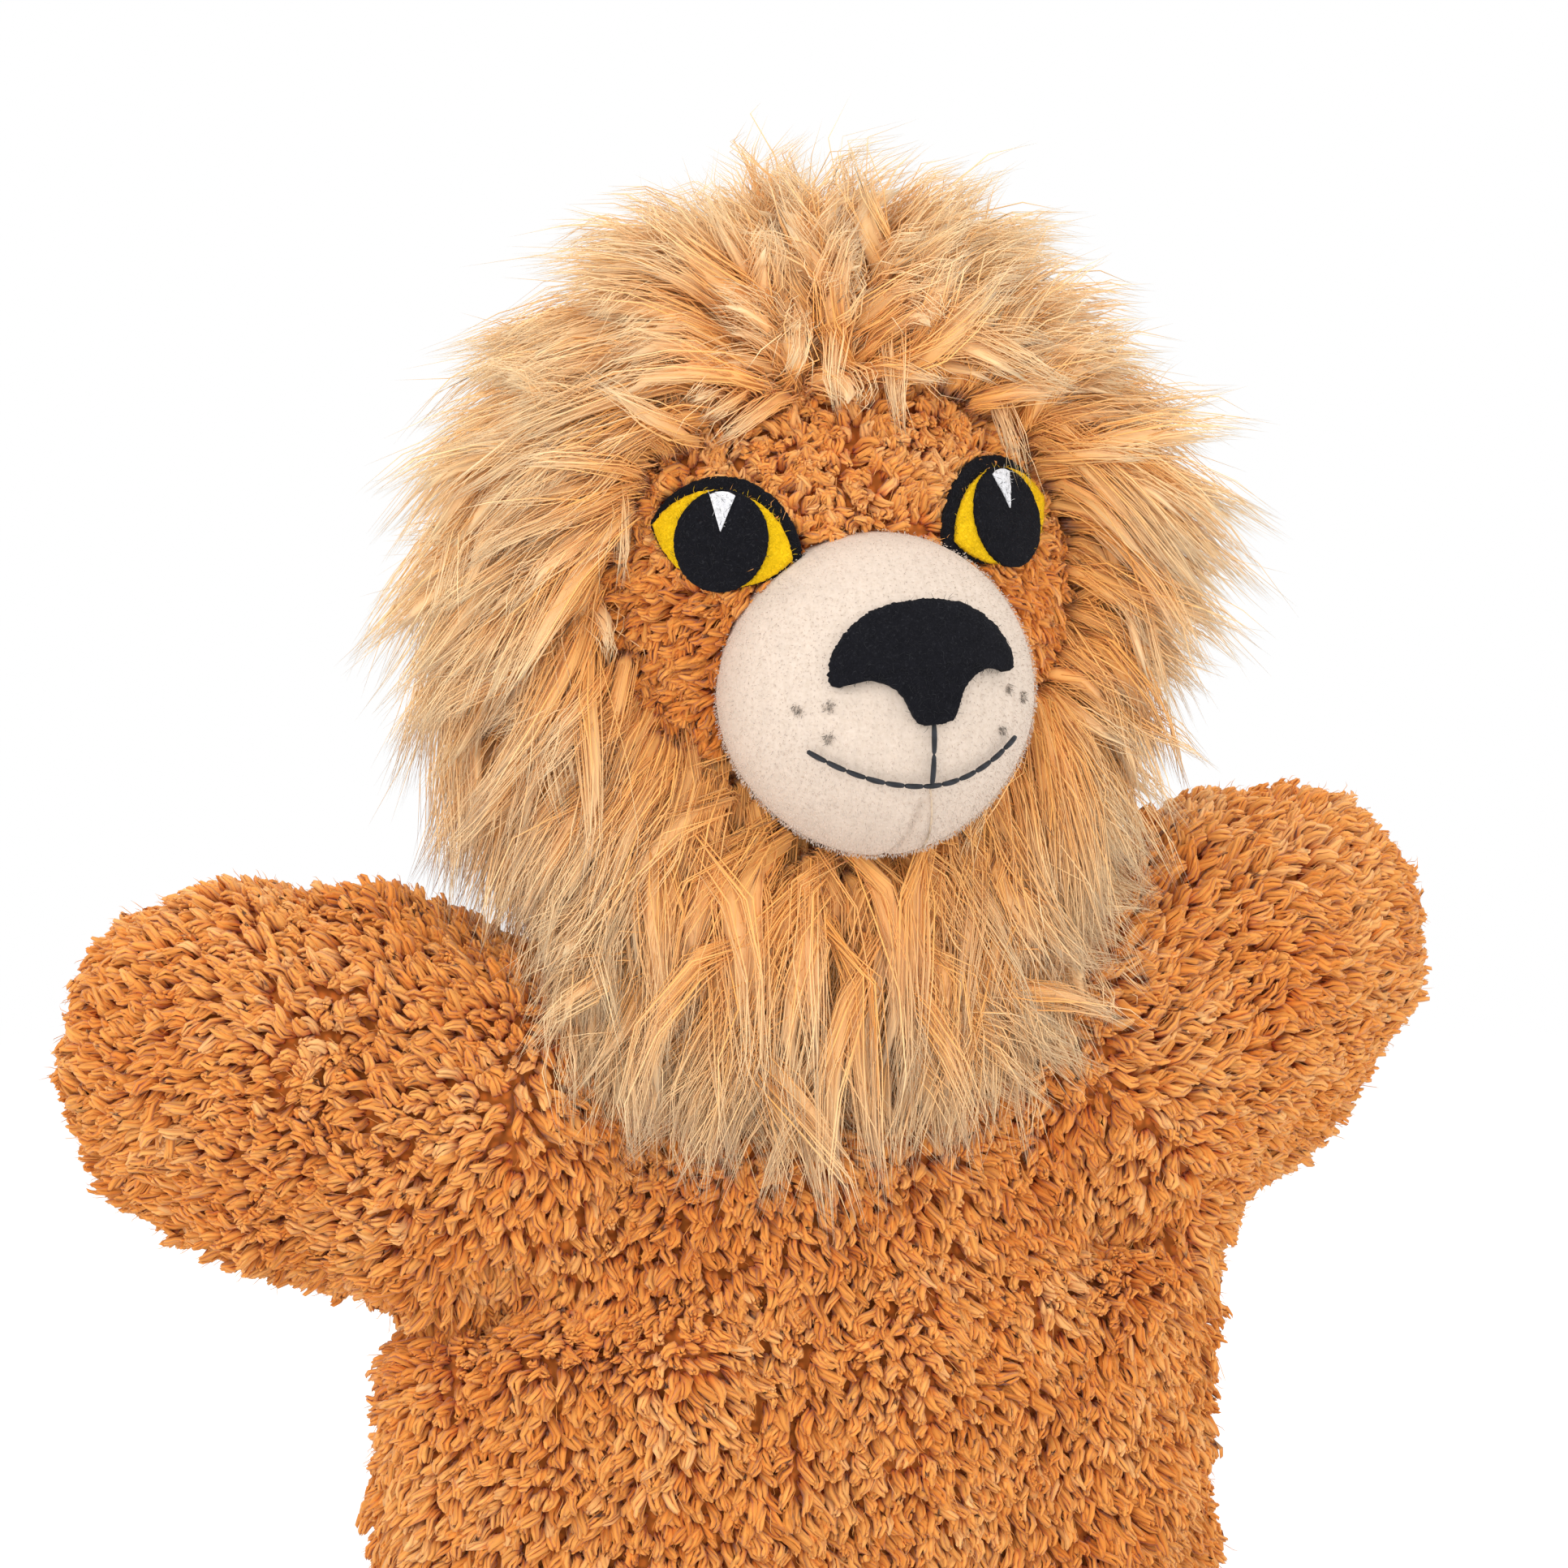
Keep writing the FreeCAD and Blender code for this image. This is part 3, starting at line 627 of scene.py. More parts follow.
# The glove is divided between the body and each arm across planes tilted like the armhole.
FOLD_NORMAL = {side: np.array((0.909 * s, 0.0, 0.418)) for side, s in SIDES.items()}
FOLD_START, FOLD_MIDDLE, FOLD_END = 98.0, 111.0, 125.0


def beyond(p, side):
    """How far out along the armhole's normal points lie."""
    return p @ FOLD_NORMAL[side]


def zones(p):
    """Which part of the glove each point belongs to."""
    zone = np.full(len(p), "torso", dtype="<U16")
    for side in SIDES:
        out = beyond(p, side)
        zone[out > FOLD_START] = f"{side}_shoulder"
        zone[out > FOLD_MIDDLE] = f"{side}_arm"
    return zone


def attach(item, zone):
    """Let a torso piece ride on the torso's body; pieces of other zones only get their placement baked
    into their points.
    """
    side, _, place = zone.partition("_")
    if zone == "torso":
        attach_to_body(item, "torso")
        return
    if place == "shoulder":
        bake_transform(item)
    else:
        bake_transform(item)


SLEEVE_PARTS = ("front", "back", "seam")
GLOVE_NODES = {
    "torso": ("torso_front_panel", "torso_back_panel"),
    **{f"{side}_shoulder": (f"{side}_shoulder_seam", f"{side}_armhole_seam") for side in SIDES},
    **{f"{side}_arm": tuple(f"{side}_sleeve_{part}" for part in SLEEVE_PARTS) for side in SIDES},
}

# ---------- glove

PILE_DEPTH = 4.2
BACKING_THICKNESS = 2.6
NECK_HOLE_RADIUS, NECK_HOLE_FLOOR = 21, 120
FLOOR_ZONE = 1.5
STEP = 2.41
LOCKS_A_PIECE = 1500
LOCK_LENGTHS, LOCK_WIDTHS = (5.2, 7.8), (0.80, 1.18)
# the widths hold for locks this far apart
LOCK_SPACING = 2.25
LOCK_LIFT, LOCK_CURL = 0.56, 1.35
LOWEST_LOCK, HEM_ZONE = 0.8, 12.0
NAP_TURN_START, NAP_TURN_LENGTH = 96, 26


def glove_nap(p, normal):
    """Which way the pile lies: down the body and out along the arms."""
    nap = np.tile((0.0, 0.0, -1.0), (len(p), 1))
    for side in SIDES:
        out = arm_axes(side)[0][0] + (0, 0, -0.25)
        share = smooth((beyond(p, side) - NAP_TURN_START) / NAP_TURN_LENGTH)[:, None]
        nap = nap * (1 - share) + out * share
    return unit(along_surface(nap + 0.32 * wave_field(p, 22.0, 11, 12, 13), normal))


def skin_field(p):
    return glove_form(p) + PILE_DEPTH


def above_floor(points):
    """Press points near or below the hem's plane together just above it."""
    z = points[:, 2]
    points[:, 2] = np.where(z < FLOOR_ZONE, FLOOR_ZONE * np.exp(np.minimum(z / FLOOR_ZONE, 1) - 1), z)


skin_points, skin_quads = net(skin_field, (-140.0, -60.0, -STEP / 2), (140.0, 60.0, 190.0), STEP)
skin_points[:, 2] = np.maximum(skin_points[:, 2], 0)
off_axis = np.hypot(skin_points[:, 0], skin_points[:, 1])
neck_hole = (off_axis < NECK_HOLE_RADIUS) & (skin_points[:, 2] > NECK_HOLE_FLOOR)
skin_quads = skin_quads[~neck_hole[skin_quads].any(1)]
middle = skin_points[skin_quads].mean(1)
quad_zone = zones(middle)

for zone, nodes in GLOVE_NODES.items():
    points, quads = piece_of(skin_points, skin_quads, quad_zone == zone)
    points, quads = shell(points, quads, skin_field, BACKING_THICKNESS)
    skin = make(f"{zone}_backing", points, quads, backing)
    attach(skin, zone)
    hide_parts(*nodes)

n = len(middle)
jitter = STEP * 0.42 * rng.uniform(-1, 1, (n, 3))
normal = gradient(skin_field, middle)[0]
root = middle + along_surface(jitter, normal) - 0.5 * normal
nap = glove_nap(root, normal)
length = rng.uniform(*LOCK_LENGTHS, n) * (1 + 0.12 * waves(root, 30.0, 31))
width = rng.uniform(*LOCK_WIDTHS, n) * (STEP / LOCK_SPACING) ** 0.9
# light and dark patches, and single paler locks
tone = np.clip(0.52 + 0.13 * waves(root, 34.0, 21) + 0.16 * rng.normal(size=n), 0, 1)
# shorter locks towards the hem
length = length * (0.5 + 0.5 * smooth(root[:, 2] / HEM_ZONE))
# nothing uses this draw, but it keeps the draws after it, and so all locks and hairs, as they are
rng.permutation(n)
lock_rows = (root, normal, nap, length, width, tone)


def fur_pieces(name, chosen, zone):
    """Locks in pieces of no more than a number of locks each."""
    groups = np.array_split(chosen, max(1, math.ceil(len(chosen) / LOCKS_A_PIECE)))
    for k, group in enumerate(groups):
        built = locks(*(row[group] for row in lock_rows), LOCK_LIFT, LOCK_CURL)
        above_floor(built[0])
        item = fur(name if len(groups) == 1 else f"{name}_{k + 1}", built, tan_pile)
        attach(item, zone)


front = normal[:, 1] < 0
for zone in GLOVE_NODES:
    here = (quad_zone == zone) & (root[:, 2] > LOWEST_LOCK)
    halves = {zone: here}
    if zone == "torso":
        halves = {"torso_front": here & front, "torso_back": here & ~front}
    for label, half in halves.items():
        chosen = np.flatnonzero(half)
        chosen = chosen[np.argsort(root[chosen, 2 if zone == "torso" else 1])]
        fur_pieces(f"{label}_pile", chosen, zone)

# ---------- head and face

FACE_PILE = 3.4
FACE_LOCK_SPACING = 1.85
FACE_STEP = FACE_LOCK_SPACING
FACE_LOCK_LENGTHS, FACE_LOCK_WIDTHS = (4.2, 5.8), (0.78, 1.12)
FACE_LOCK_LIFT, FACE_LOCK_CURL = 0.5, 1.7
CHEEK_TOP, CHEEK_FADE = 238, 16
HEAD_LOW, HEAD_HIGH = HEAD - HEAD_HALF - 3, HEAD + HEAD_HALF + 3


def mane_edge(p):
    """The y at which the mane starts on the head, lower down and higher up more to the front."""
    height = (p[:, 2] - HEAD[2]) / HEAD_HALF[2]
    return -19.5 - np.where(height > 0, 9.0, 6.0) * np.abs(height) ** 1.7


def face_nap(p, normal, cheek):
    """Which way the face's pile lies: away from the muzzle on the brow, down on the cheeks."""
    away = p - MUZZLE
    nap = unit(away * (1, 0, 1)) * (1 - cheek) * 0.5 + unit(away * (1, 0, 0) + (0, 0, -30.0)) * cheek
    nap = nap + (0.9 - 0.45 * cheek) * wave_field(p, 9.0, 51, 52, 53)
    return unit(along_surface(nap, normal))


points, quads = net(lambda p: head_form(p) + FACE_PILE, HEAD_LOW, HEAD_HIGH, FACE_STEP)
ball = make("head_skin", points, quads, backing)
ride(ball, "head", "tan_pile", "face_panel", "head_back_panel", "head_stuffing")

middle = points[quads].mean(1)
face_root = middle[(middle[:, 1] < mane_edge(middle) + 5) & (muzzle_form(middle) > -1.5)]
n = len(face_root)
face_normal = gradient(head_form, face_root)[0]
face_root = face_root + along_surface(FACE_STEP * 0.45 * rng.uniform(-1, 1, (n, 3)), face_normal)
cheek = smooth((CHEEK_TOP - face_root[:, 2]) / CHEEK_FADE)
face_length = rng.uniform(*FACE_LOCK_LENGTHS, n) * (1 + 0.25 * cheek)
face_width = rng.uniform(*FACE_LOCK_WIDTHS, n) * (FACE_STEP / FACE_LOCK_SPACING) ** 0.9
# darker on the cheeks
face_tone = 0.66 - 0.34 * cheek + 0.10 * waves(face_root, 20.0, 61) + 0.14 * rng.normal(size=n)
face_rows = (
    face_root - 0.4 * face_normal, face_normal, face_nap(face_root, face_normal, cheek[:, None]),
    face_length, face_width, np.clip(face_tone, 0, 1),
)
built = locks(*face_rows, FACE_LOCK_LIFT, FACE_LOCK_CURL)
ride(fur("face_pile", built, tan_pile), "head", "tan_pile")

# ---------- muzzle

FIBRE_SPACING, FIBRE_RADIUS = 0.84, 0.07
MUZZLE_STEP = FIBRE_SPACING
MUZZLE_BOX = 33
MUZZLE_PILE = 0.8
FIBRE_SHAPE = np.array((0.6, 1.0, 0.8, 0.4))
# where the whisker dots lie, across and up, and the dark fibres in each
DOTS = ((-21.3, 205.7), (-17.0, 206.6), (-17.0, 201.1), (16.2, 208.1), (20.2, 206.1), (14.6, 201.1))
DOT_FIBRES = 44


def muzzle_skin(p):
    """The muzzle's cover, closed inside the head."""
    return soft_max(muzzle_form(p) + MUZZLE_PILE, -(head_form(p) + 6), 1)


def short_pile(root, reach, tone, radius):
    """Very short fibres on the muzzle that lie over."""
    n = len(root)
    normal = gradient(muzzle_form, root)[0]
    nap = unit(np.array((0, 0, -1.0)) + 0.7 * rng.normal(size=(n, 3)))
    t = np.linspace(0, 1, 4)[None, :, None]
    bow = normal[:, None] * t * (1.4 - 0.5 * t) + 0.9 * nap[:, None] * t**1.6
    path = root[:, None] + reach[:, None, None] * bow
    radii = np.tile(FIBRE_SHAPE * radius, (n, 1)) * rng.uniform(0.8, 1.25, (n, 1))
    return strands(path, radii, np.clip(tone, 0, 1))


points, quads = net(muzzle_skin, MUZZLE - MUZZLE_BOX, MUZZLE + MUZZLE_BOX, MUZZLE_STEP)
muzzle = make("muzzle_cover", points, quads, velour)
ride(muzzle, "head", "cream_velour", "muzzle_cover_right", "muzzle_cover_left", "muzzle_stuffing")

middle = points[quads].mean(1)
fibre_root = middle[head_form(middle) > -1]
n = len(fibre_root)
fibre_root = fibre_root + MUZZLE_STEP * 0.5 * rng.uniform(-1, 1, (n, 3))
tone = 0.80 + 0.10 * rng.normal(size=n) + 0.05 * waves(fibre_root, 12.0, 71)
reach = rng.uniform(0.3, 0.55, n)
built = [short_pile(fibre_root, reach, tone, FIBRE_RADIUS * MUZZLE_STEP / FIBRE_SPACING)]
for x, z in DOTS:
    across = x + 0.42 * rng.normal(size=DOT_FIBRES)
    up = z + 0.45 * rng.normal(size=DOT_FIBRES)
    place = np.stack([across, np.full(DOT_FIBRES, MUZZLE[1] - 20), up], 1)
    place = settled(place, (0, -1, 0), muzzle_form, -MUZZLE_PILE, limit=6, pace=1, times=8)
    reach = rng.uniform(0.5, 0.9, DOT_FIBRES)
    built.append(short_pile(place, reach, rng.uniform(0.0, 0.22, DOT_FIBRES), FIBRE_RADIUS))
ride(fur("muzzle_pile", joined(built), cream_pile), "head", "cream_velour")

# ---------- felt and thread on the face

PILE_TOP = 0.4
EYES = {"right": (-28.2, -38.0, 233.4), "left": (27.3, -38.0, 235.3)}
EYE_TILT, EYE_YAW, EYE_LEAN = 12, 31, 73.5
# rings of a felt shape: shares of the way to its outline and of its thickness
RING_PLACES = np.array((0.15, 0.3, 0.45, 0.6, 0.74, 0.86, 0.94, 0.985, 1.0))
RING_HEIGHTS = np.array((1, 1, 1, 1, 1, 1, 0.985, 0.9, 0.62))
FUZZ_RADII = np.array((0.025, 0.035, 0.035, 0.03, 0.015))


class Spot:
    """A place on a form, with axes across, up and out of it, for outlines drawn flat."""

    def __init__(self, form, origin, axes):
        self.form = form
        self.origin = np.array(origin)
        self.axes = axes

    def put(self, flat, height):
        """Points above the form's surface, for flat outline points and heights above it."""
        p = self.origin + flat @ self.axes[:2]
        p = settled(p, self.axes[2], self.form, height=0, limit=8, pace=0.9, times=12)
        normal = gradient(self.form, p)[0]
        return p + normal * np.broadcast_to(height, len(p))[:, None], normal


def resample(outline, count):
    """A closed outline with points spaced evenly."""
    loop = np.concatenate([outline, outline[:1]])
    return points_at(loop, np.linspace(0, lengthwise(loop)[-1], count, endpoint=False))


def patch(
    name, spot, outline, base, thickness, kind, node, centre=(0.0, 0.0), fuzz=500, count=160, bare=0.0
):
    """A felt shape on a form: flat top, soft cut edge, and loose fibres on it."""
    felt_coat, fuzz_coat, slot_name = kind
    centre = np.array(centre)
    ragged = 1 + 0.006 * np.random.default_rng(count).normal(size=(count, 1))
    outline = centre + (resample(outline, count) - centre) * ragged
    rings = [centre + (outline - centre) * share for share in RING_PLACES]
    # the last two rings go down the cut edge and under it
    rings += [outline, outline * 0.99 + centre * 0.01]
    heights = [*(thickness * RING_HEIGHTS), 0.0, -0.6]
    flat = np.concatenate([centre[None], *rings])
    height = np.concatenate([[thickness], np.repeat(heights, count)])
    wobble = 0.05 * waves(np.column_stack([flat, np.zeros(len(flat))]), 2.5, 81)
    points, _ = spot.put(flat, base + height + wobble)
    k = np.arange(count)
    fan = np.stack([np.zeros(count, int), 1 + k, 1 + (k + 1) % count], 1)
    item = make(name, points, [fan, ring_quads(len(rings), count, first=1)[:, [0, 3, 2, 1]]], felt_coat)
    ride(item, "head", slot_name, node)
    loose = felt_fuzz(spot, outline, centre, base, thickness, fuzz, bare)
    ride(fur(f"{name}_fuzz", loose, fuzz_coat), "head", slot_name)


def felt_fuzz(spot, outline, centre, base, thickness, many, bare):
    """Loose fibres on a felt shape, from a share of the way to its outline outwards."""
    where = bare + (1 - bare) * rng.uniform(0, 1, many) ** 0.5
    edge = outline[rng.integers(0, len(outline), many)]
    height = base + thickness * (0.97 - 0.4 * (where > 0.97))
    root, normal = spot.put(centre + (edge - centre) * where[:, None], height)
    wander = unit(rng.normal(size=(many, 3)) + normal * 0.25)
    t = np.linspace(0, 1, 5)[None, :, None]
    long = rng.uniform(0.5, 1.6, many)[:, None, None]
    turn = unit(np.cross(wander, normal))[:, None]
    way = wander[:, None] * t + turn * 0.5 * t**2 + 0.1 * normal[:, None] * np.sin(np.pi * t)
    return strands(root[:, None] + long * way, np.tile(FUZZ_RADII, (many, 1)), rng.uniform(0, 1, many))


def turned(yaw, roll=0):
    """Axes, as rows, after turning about X by roll and then about Z by yaw."""
    y, r = math.radians(yaw), math.radians(roll)
    about_x = np.array(((1, 0, 0), (0, math.cos(r), -math.sin(r)), (0, math.sin(r), math.cos(r))))
    about_z = np.array(((math.cos(y), -math.sin(y), 0), (math.sin(y), math.cos(y), 0), (0, 0, 1)))
    return (about_z @ about_x).T


def arc(x, half_width, rise):
    """The height at x of a circular arc that rises between two corners."""
    radius = (half_width**2 + rise**2) / (2 * rise)
    return np.sqrt(np.maximum(radius**2 - x**2, 0)) - (radius - rise)


def almond(half_width, top, bottom):
    """Two circular arcs that meet in pointed corners."""
    x = np.linspace(half_width, -half_width, 60, endpoint=False)
    upper = np.stack([x, arc(x, half_width, top)], 1)
    lower = np.stack([-x, -arc(x, half_width, bottom)], 1)
    return np.concatenate([upper, lower])


def liner_outline(s):
    """The felt that shows around the iris: more above it, and a point towards the nose."""
    outline = almond(13.5, 11.3, 7.9) + (0, 0.2)
    inner = smooth((-s * outline[:, 0] - 8) / 8)
    outline[:, 0] -= s * 1.2 * inner
    outline[:, 1] -= 0.9 * inner
    return outline


def glint_outline(s):
    """An upright slice of the pupil, with its point at the middle."""
    up = np.array((math.sin(math.radians(s * EYE_TILT)), math.cos(math.radians(EYE_TILT))))
    across = np.array((up[1], -up[0]))
    slice_points = ((-2.2, 7.6), (-1.1, 8.1), (0, 8.25), (1.1, 8.1), (2.2, 7.6), (0, 1.3))
    return np.array([across * x + up * y for x, y in slice_points])


around = np.linspace(0, 2 * np.pi, 90, endpoint=False)
pupil = np.stack([8.0 * np.cos(around), 8.7 * np.sin(around)], 1)
for side, s in SIDES.items():
    spot = Spot(head_form, EYES[side], turned(s * EYE_TILT) @ turned(s * EYE_YAW, EYE_LEAN))
    glint = glint_outline(s)
    felts = (
        ("liner", liner_outline(s), -0.6, 1.2, BLACK, {"bare": 0.8}),
        ("iris", almond(12.5, 8.7, 7.7), 0.6, 1.0, YELLOW, {"bare": 0.93, "fuzz": 160}),
        ("pupil", pupil, 1.6, 0.8, BLACK, {}),
        ("glint", glint, 2.35, 0.3, WHITE, {"centre": glint.mean(0), "fuzz": 30, "count": 80}),
    )
    for part, outline, base, thickness, kind, more in felts:
        name, node = f"{side}_eye_felt_{part}", f"{side}_eye_{part}"
        patch(name, spot, outline, PILE_TOP + base, thickness, kind, node, **more)

front = Spot(muzzle_form, MUZZLE, np.array(((1.0, 0, 0), (0, 0, 1.0), (0, -1.0, 0))))
HALF_NOSE = (
    (0.0, 19.0), (4.4, 18.7), (8.3, 17.6), (11.4, 15.8), (14.0, 13.3), (15.8, 10.6),
    (16.6, 7.9), (16.4, 6.0), (15.5, 5.6), (13.0, 6.9), (10.1, 6.7), (8.0, 6.0),
    (6.3, 4.9), (5.2, 3.4), (4.5, 1.8), (3.7, 0.0), (3.1, -1.0), (1.6, -1.4),
)
NOSE_ASKEW = math.radians(2.7)
nose = np.array(HALF_NOSE + tuple((-x, z) for x, z in reversed(HALF_NOSE[1:])))
askew = ((math.cos(NOSE_ASKEW), math.sin(NOSE_ASKEW)), (-math.sin(NOSE_ASKEW), math.cos(NOSE_ASKEW)))
# sewn on a little askew and off the middle
nose = (nose - (0, 8)) @ np.array(askew) + (-0.5, 8)
patch(
    "nose_felt_patch", front, nose, base=0.0, thickness=1.7, kind=BLACK, node="nose_felt",
    centre=(-0.5, 9.0), fuzz=900, count=260,
)


def stitches(name, line, *nodes, coat, slot_name, height, sink, radius, gap):
    """Separate stitches of thread laid end to end along a line drawn flat on the muzzle."""
    line = np.array(line)
    whole = lengthwise(line)[-1]
    count = max(2, int(whole / gap))
    dip = sink * (1 - np.sin(np.linspace(0, np.pi, 9)) ** 0.5)
    paths = []
    for k in range(count):
        at = np.linspace(k - 0.06, k + 1.06, 9) * whole / count
        paths.append(front.put(points_at(line, at), height - dip)[0])
    taper = np.sin(np.linspace(0.25, np.pi - 0.25, 9)) ** 0.35
    item = thread_piece(name, np.stack(paths), radius * taper, coat, sides=8)
    ride(item, "head", slot_name, *nodes)


x = np.linspace(-20.0, 17.2, 60)
smile = -12.4 + np.where(x < 0, 6.2 * np.abs(x / 20) ** 2.1, 7.3 * np.abs(x / 17.2) ** 1.9)
mouth = np.stack([x, smile], 1)
philtrum = ((-0.3, -1.0), (0, -6), (0.4, -12.4))
chin_seam = ((0.6, -13.4), (2.4, -19), (4.6, -27))
dark = {"coat": black_thread, "slot_name": "black_thread", "height": 0.72, "radius": 0.5}
pale = {"coat": seam_thread, "slot_name": "tan_thread", "height": -0.2, "radius": 0.2}
stitches("mouth_stitches", mouth, "mouth_thread", sink=0.2, gap=3.2, **dark)
stitches("philtrum_stitches", philtrum, "philtrum_thread", sink=0.15, gap=6.0, **dark)
stitches("chin_seam_stitches", chin_seam, sink=0.35, gap=1.9, **pale)

# ---------- hair

TUFT_PLACES = np.array((0.0, 0.2, 0.4, 0.6, 0.8, 1.0))
TUFT_SHAPE = np.array((0.7, 1.05, 1.25, 1.15, 0.72, 0.10))
TUFTS_A_PIECE = 100
CORE_LENGTH, CORE_WIDTH, CORE_FLAT = 0.8, 0.68, 0.6
HAIRS = 36
HAIR_RADII = np.array((0.8, 1.0, 1.0, 0.95, 0.7, 0.3)) * 0.135
STRAY_SHARE, WANDER, RIPPLE = 0.12, 0.55, 0.3
HAIR_MIDDLE = (0, 0, 205.0)
ROOT_JITTER = 1.6
# how far hair stays outside the glove
CLEARANCE = 1.5


def tuft_spines(root, start, tip, fall, clear):
    """Curved middle lines of tufts, kept outside the form clear, and which way is outwards."""
    n = len(root)
    t = TUFT_PLACES[None, :, None]
    reach = np.linalg.norm(tip - root, axis=1)[:, None]
    one = root + start * reach * 0.42
    two = tip - unit(tip - root + fall * reach) * reach * 0.36
    a, b, c, d = (x[:, None] for x in (root, one, two, tip))
    spine = a * (1 - t) ** 3 + 3 * b * (1 - t) ** 2 * t + 3 * c * (1 - t) * t**2 + d * t**3
    out = unit(root - HAIR_MIDDLE)[:, None] + 0 * spine
    side = unit(np.cross(unit(np.gradient(spine, axis=1)), out))
    bend = rng.uniform(-1, 1, (n, 1, 1))
    phase = rng.uniform(0, 2 * np.pi, (n, 1, 1))
    bow = 0.12 * bend * np.sin(np.pi * t) + 0.07 * np.sin(phase + 5 * t) * t
    spine = spine + side * reach[:, None] * bow
    spine = spine + rng.normal(size=(n, 1, 3)) * 1.4 * t**2
    if clear:
        flat = spine.reshape(-1, 3)
        for _ in range(2):
            slope, gap = gradient(clear, flat)
            flat = flat + np.maximum(CLEARANCE - gap, 0)[:, None] * slope
        spine[:, 1:] = flat.reshape(spine.shape)[:, 1:]
    return spine, out


def hairs(spine, side, up, wide, tone):
    """Single hairs spread round the spines of tufts, some of them stray."""
    n = len(spine)
    t = TUFT_PLACES[None, :, None]
    far = np.sqrt(rng.uniform(0.15, 1.6, (n, 1, 1)))
    around = rng.uniform(0, 2 * np.pi, (n, 1, 1)) + rng.uniform(-0.8, 0.8, (n, 1, 1)) * t
    way = spine + (wide + 0.3) * far * (side * np.cos(around) + 0.66 * up * np.sin(around))
    stray = (rng.uniform(0, 1, (n, 1, 1)) < STRAY_SHARE) * rng.uniform(0.8, 3.0, (n, 1, 1))
    way = way + (WANDER + stray) * rng.normal(size=(n, 1, 3)) * t**1.6
    ripple = np.sin(rng.uniform(0, 6.3, (n, 1, 3)) + t * rng.uniform(5, 12, (n, 1, 3)))
    way = way + RIPPLE * ripple * (1 + stray)
    stretch = rng.uniform(0.74, 1.08, (n, 1, 1)) + 0.05 * (stray > 0)
    way = way[:, :1] + (way - way[:, :1]) * stretch
    radii = HAIR_RADII * rng.uniform(0.55, 1.3, (n, 1))
    shade = np.clip(tone + 0.09 * rng.normal(size=n), 0, 1)
    return strands(way, radii, shade, places=TUFT_PLACES)


def tufts(root, start, tip, fall, girth, tone, clear=None):
    """Soft tufts of long hair: hairs round a hidden core, drawn together towards the tip."""
    spine, out = tuft_spines(root, start, tip, fall, clear)
    along = unit(np.gradient(spine, axis=1))
    side = unit(np.cross(along, out))
    up = np.cross(side, along)
    wide = girth[:, None, None] * TUFT_SHAPE[None, :, None]
    # the core stops short of the tip, which is loose hair only
    inner = spine[:, :1] + (spine - spine[:, :1]) * CORE_LENGTH
    radii = CORE_WIDTH * wide[..., 0] * rng.uniform(0.9, 1.1, wide.shape[:2])
    places = 0.3 + 0.6 * TUFT_PLACES
    core = strands(inner, radii, tone, sides=7, flat=CORE_FLAT, places=places, facing=out, stripes=0.04)
    rows = (np.repeat(row, HAIRS, axis=0) for row in (spine, side, up, wide, tone))
    return joined([core, hairs(*rows)])


def with_head(item):
    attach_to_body(item, "head")


def drape(item):
    """The lower hair gets its placement baked into its points and follows no body."""
    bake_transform(item)


def hair_pieces(name, order, rows, follow, *nodes):
    """Tufts from rows of roots, starts, tips, falls, girths and tones, as pieces with equal shares."""
    groups = np.array_split(order, max(1, math.ceil(len(order) / TUFTS_A_PIECE)))
    for k, group in enumerate(groups):
        item = fur(f"{name}_{k + 1}", tufts(*(row[group] for row in rows), glove_form), mane_pile)
        follow(item)
        if k == 0 and nodes:
            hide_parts(*nodes)


def hair_tone(p, darker=0.0):
    return np.clip(0.56 - darker + 0.07 * waves(p, 30.0, 94) + 0.08 * rng.normal(size=len(p)), 0.02, 0.98)


def spread_over(form, centre, half, step):
    """Evenly spread places on a form's surface."""
    points, quads = net(form, centre - half - 3, centre + half + 3, step)
    return points[quads].mean(1)


def jittered(places, form):
    """Roots moved a little at random, and the form's outward directions there."""
    root = places + ROOT_JITTER * rng.uniform(-1, 1, places.shape)
    return root, gradient(form, root)[0]


def scattered(directions, share, n):
    return directions + share * rng.normal(size=(n, 3))


# ---------- mane round the head

MASS, MASS_HALF = (2.5, -3.0, 218.0), (83.5, 53.0, 83.0)
LOWER_MASS, LOWER_MASS_HALF = (1.0, -4.0, 168.0), (73.0, 44.0, 46.0)
MANE_ROOT_STEP, EDGE_ROOT_STEP, EDGE_ROOT_SHARE = 4.1, 3.0, 0.62
MANE_GROUND_STEP, MANE_GROUND_THICKNESS = 3.0, 1.2
# the lowest tips, and how far back tips below the neck's height may reach
MANE_FOOT, NECK_HEIGHT, MANE_BACK = 138, 175, 44


def mane_ground(p):
    return head_form(p) - 0.6


def mane_mass(p):
    """The rounded mass that the hair's tips reach, with a fuller one under the cheeks."""
    return soft_min(egg(p, MASS, MASS_HALF), egg(p, LOWER_MASS, LOWER_MASS_HALF), 10)


# the knit that the hair grows from
points, quads = net(mane_ground, HEAD_LOW, HEAD_HIGH, MANE_GROUND_STEP)
middle = points[quads].mean(1)
keep = (middle[:, 1] > mane_edge(middle) + 2.5) & (muzzle_form(middle) > 2)
points, quads = shell(*piece_of(points, quads, keep), mane_ground, MANE_GROUND_THICKNESS)
ride(make("mane_backing", points, quads, mane_backing), "head", "mane_pile")

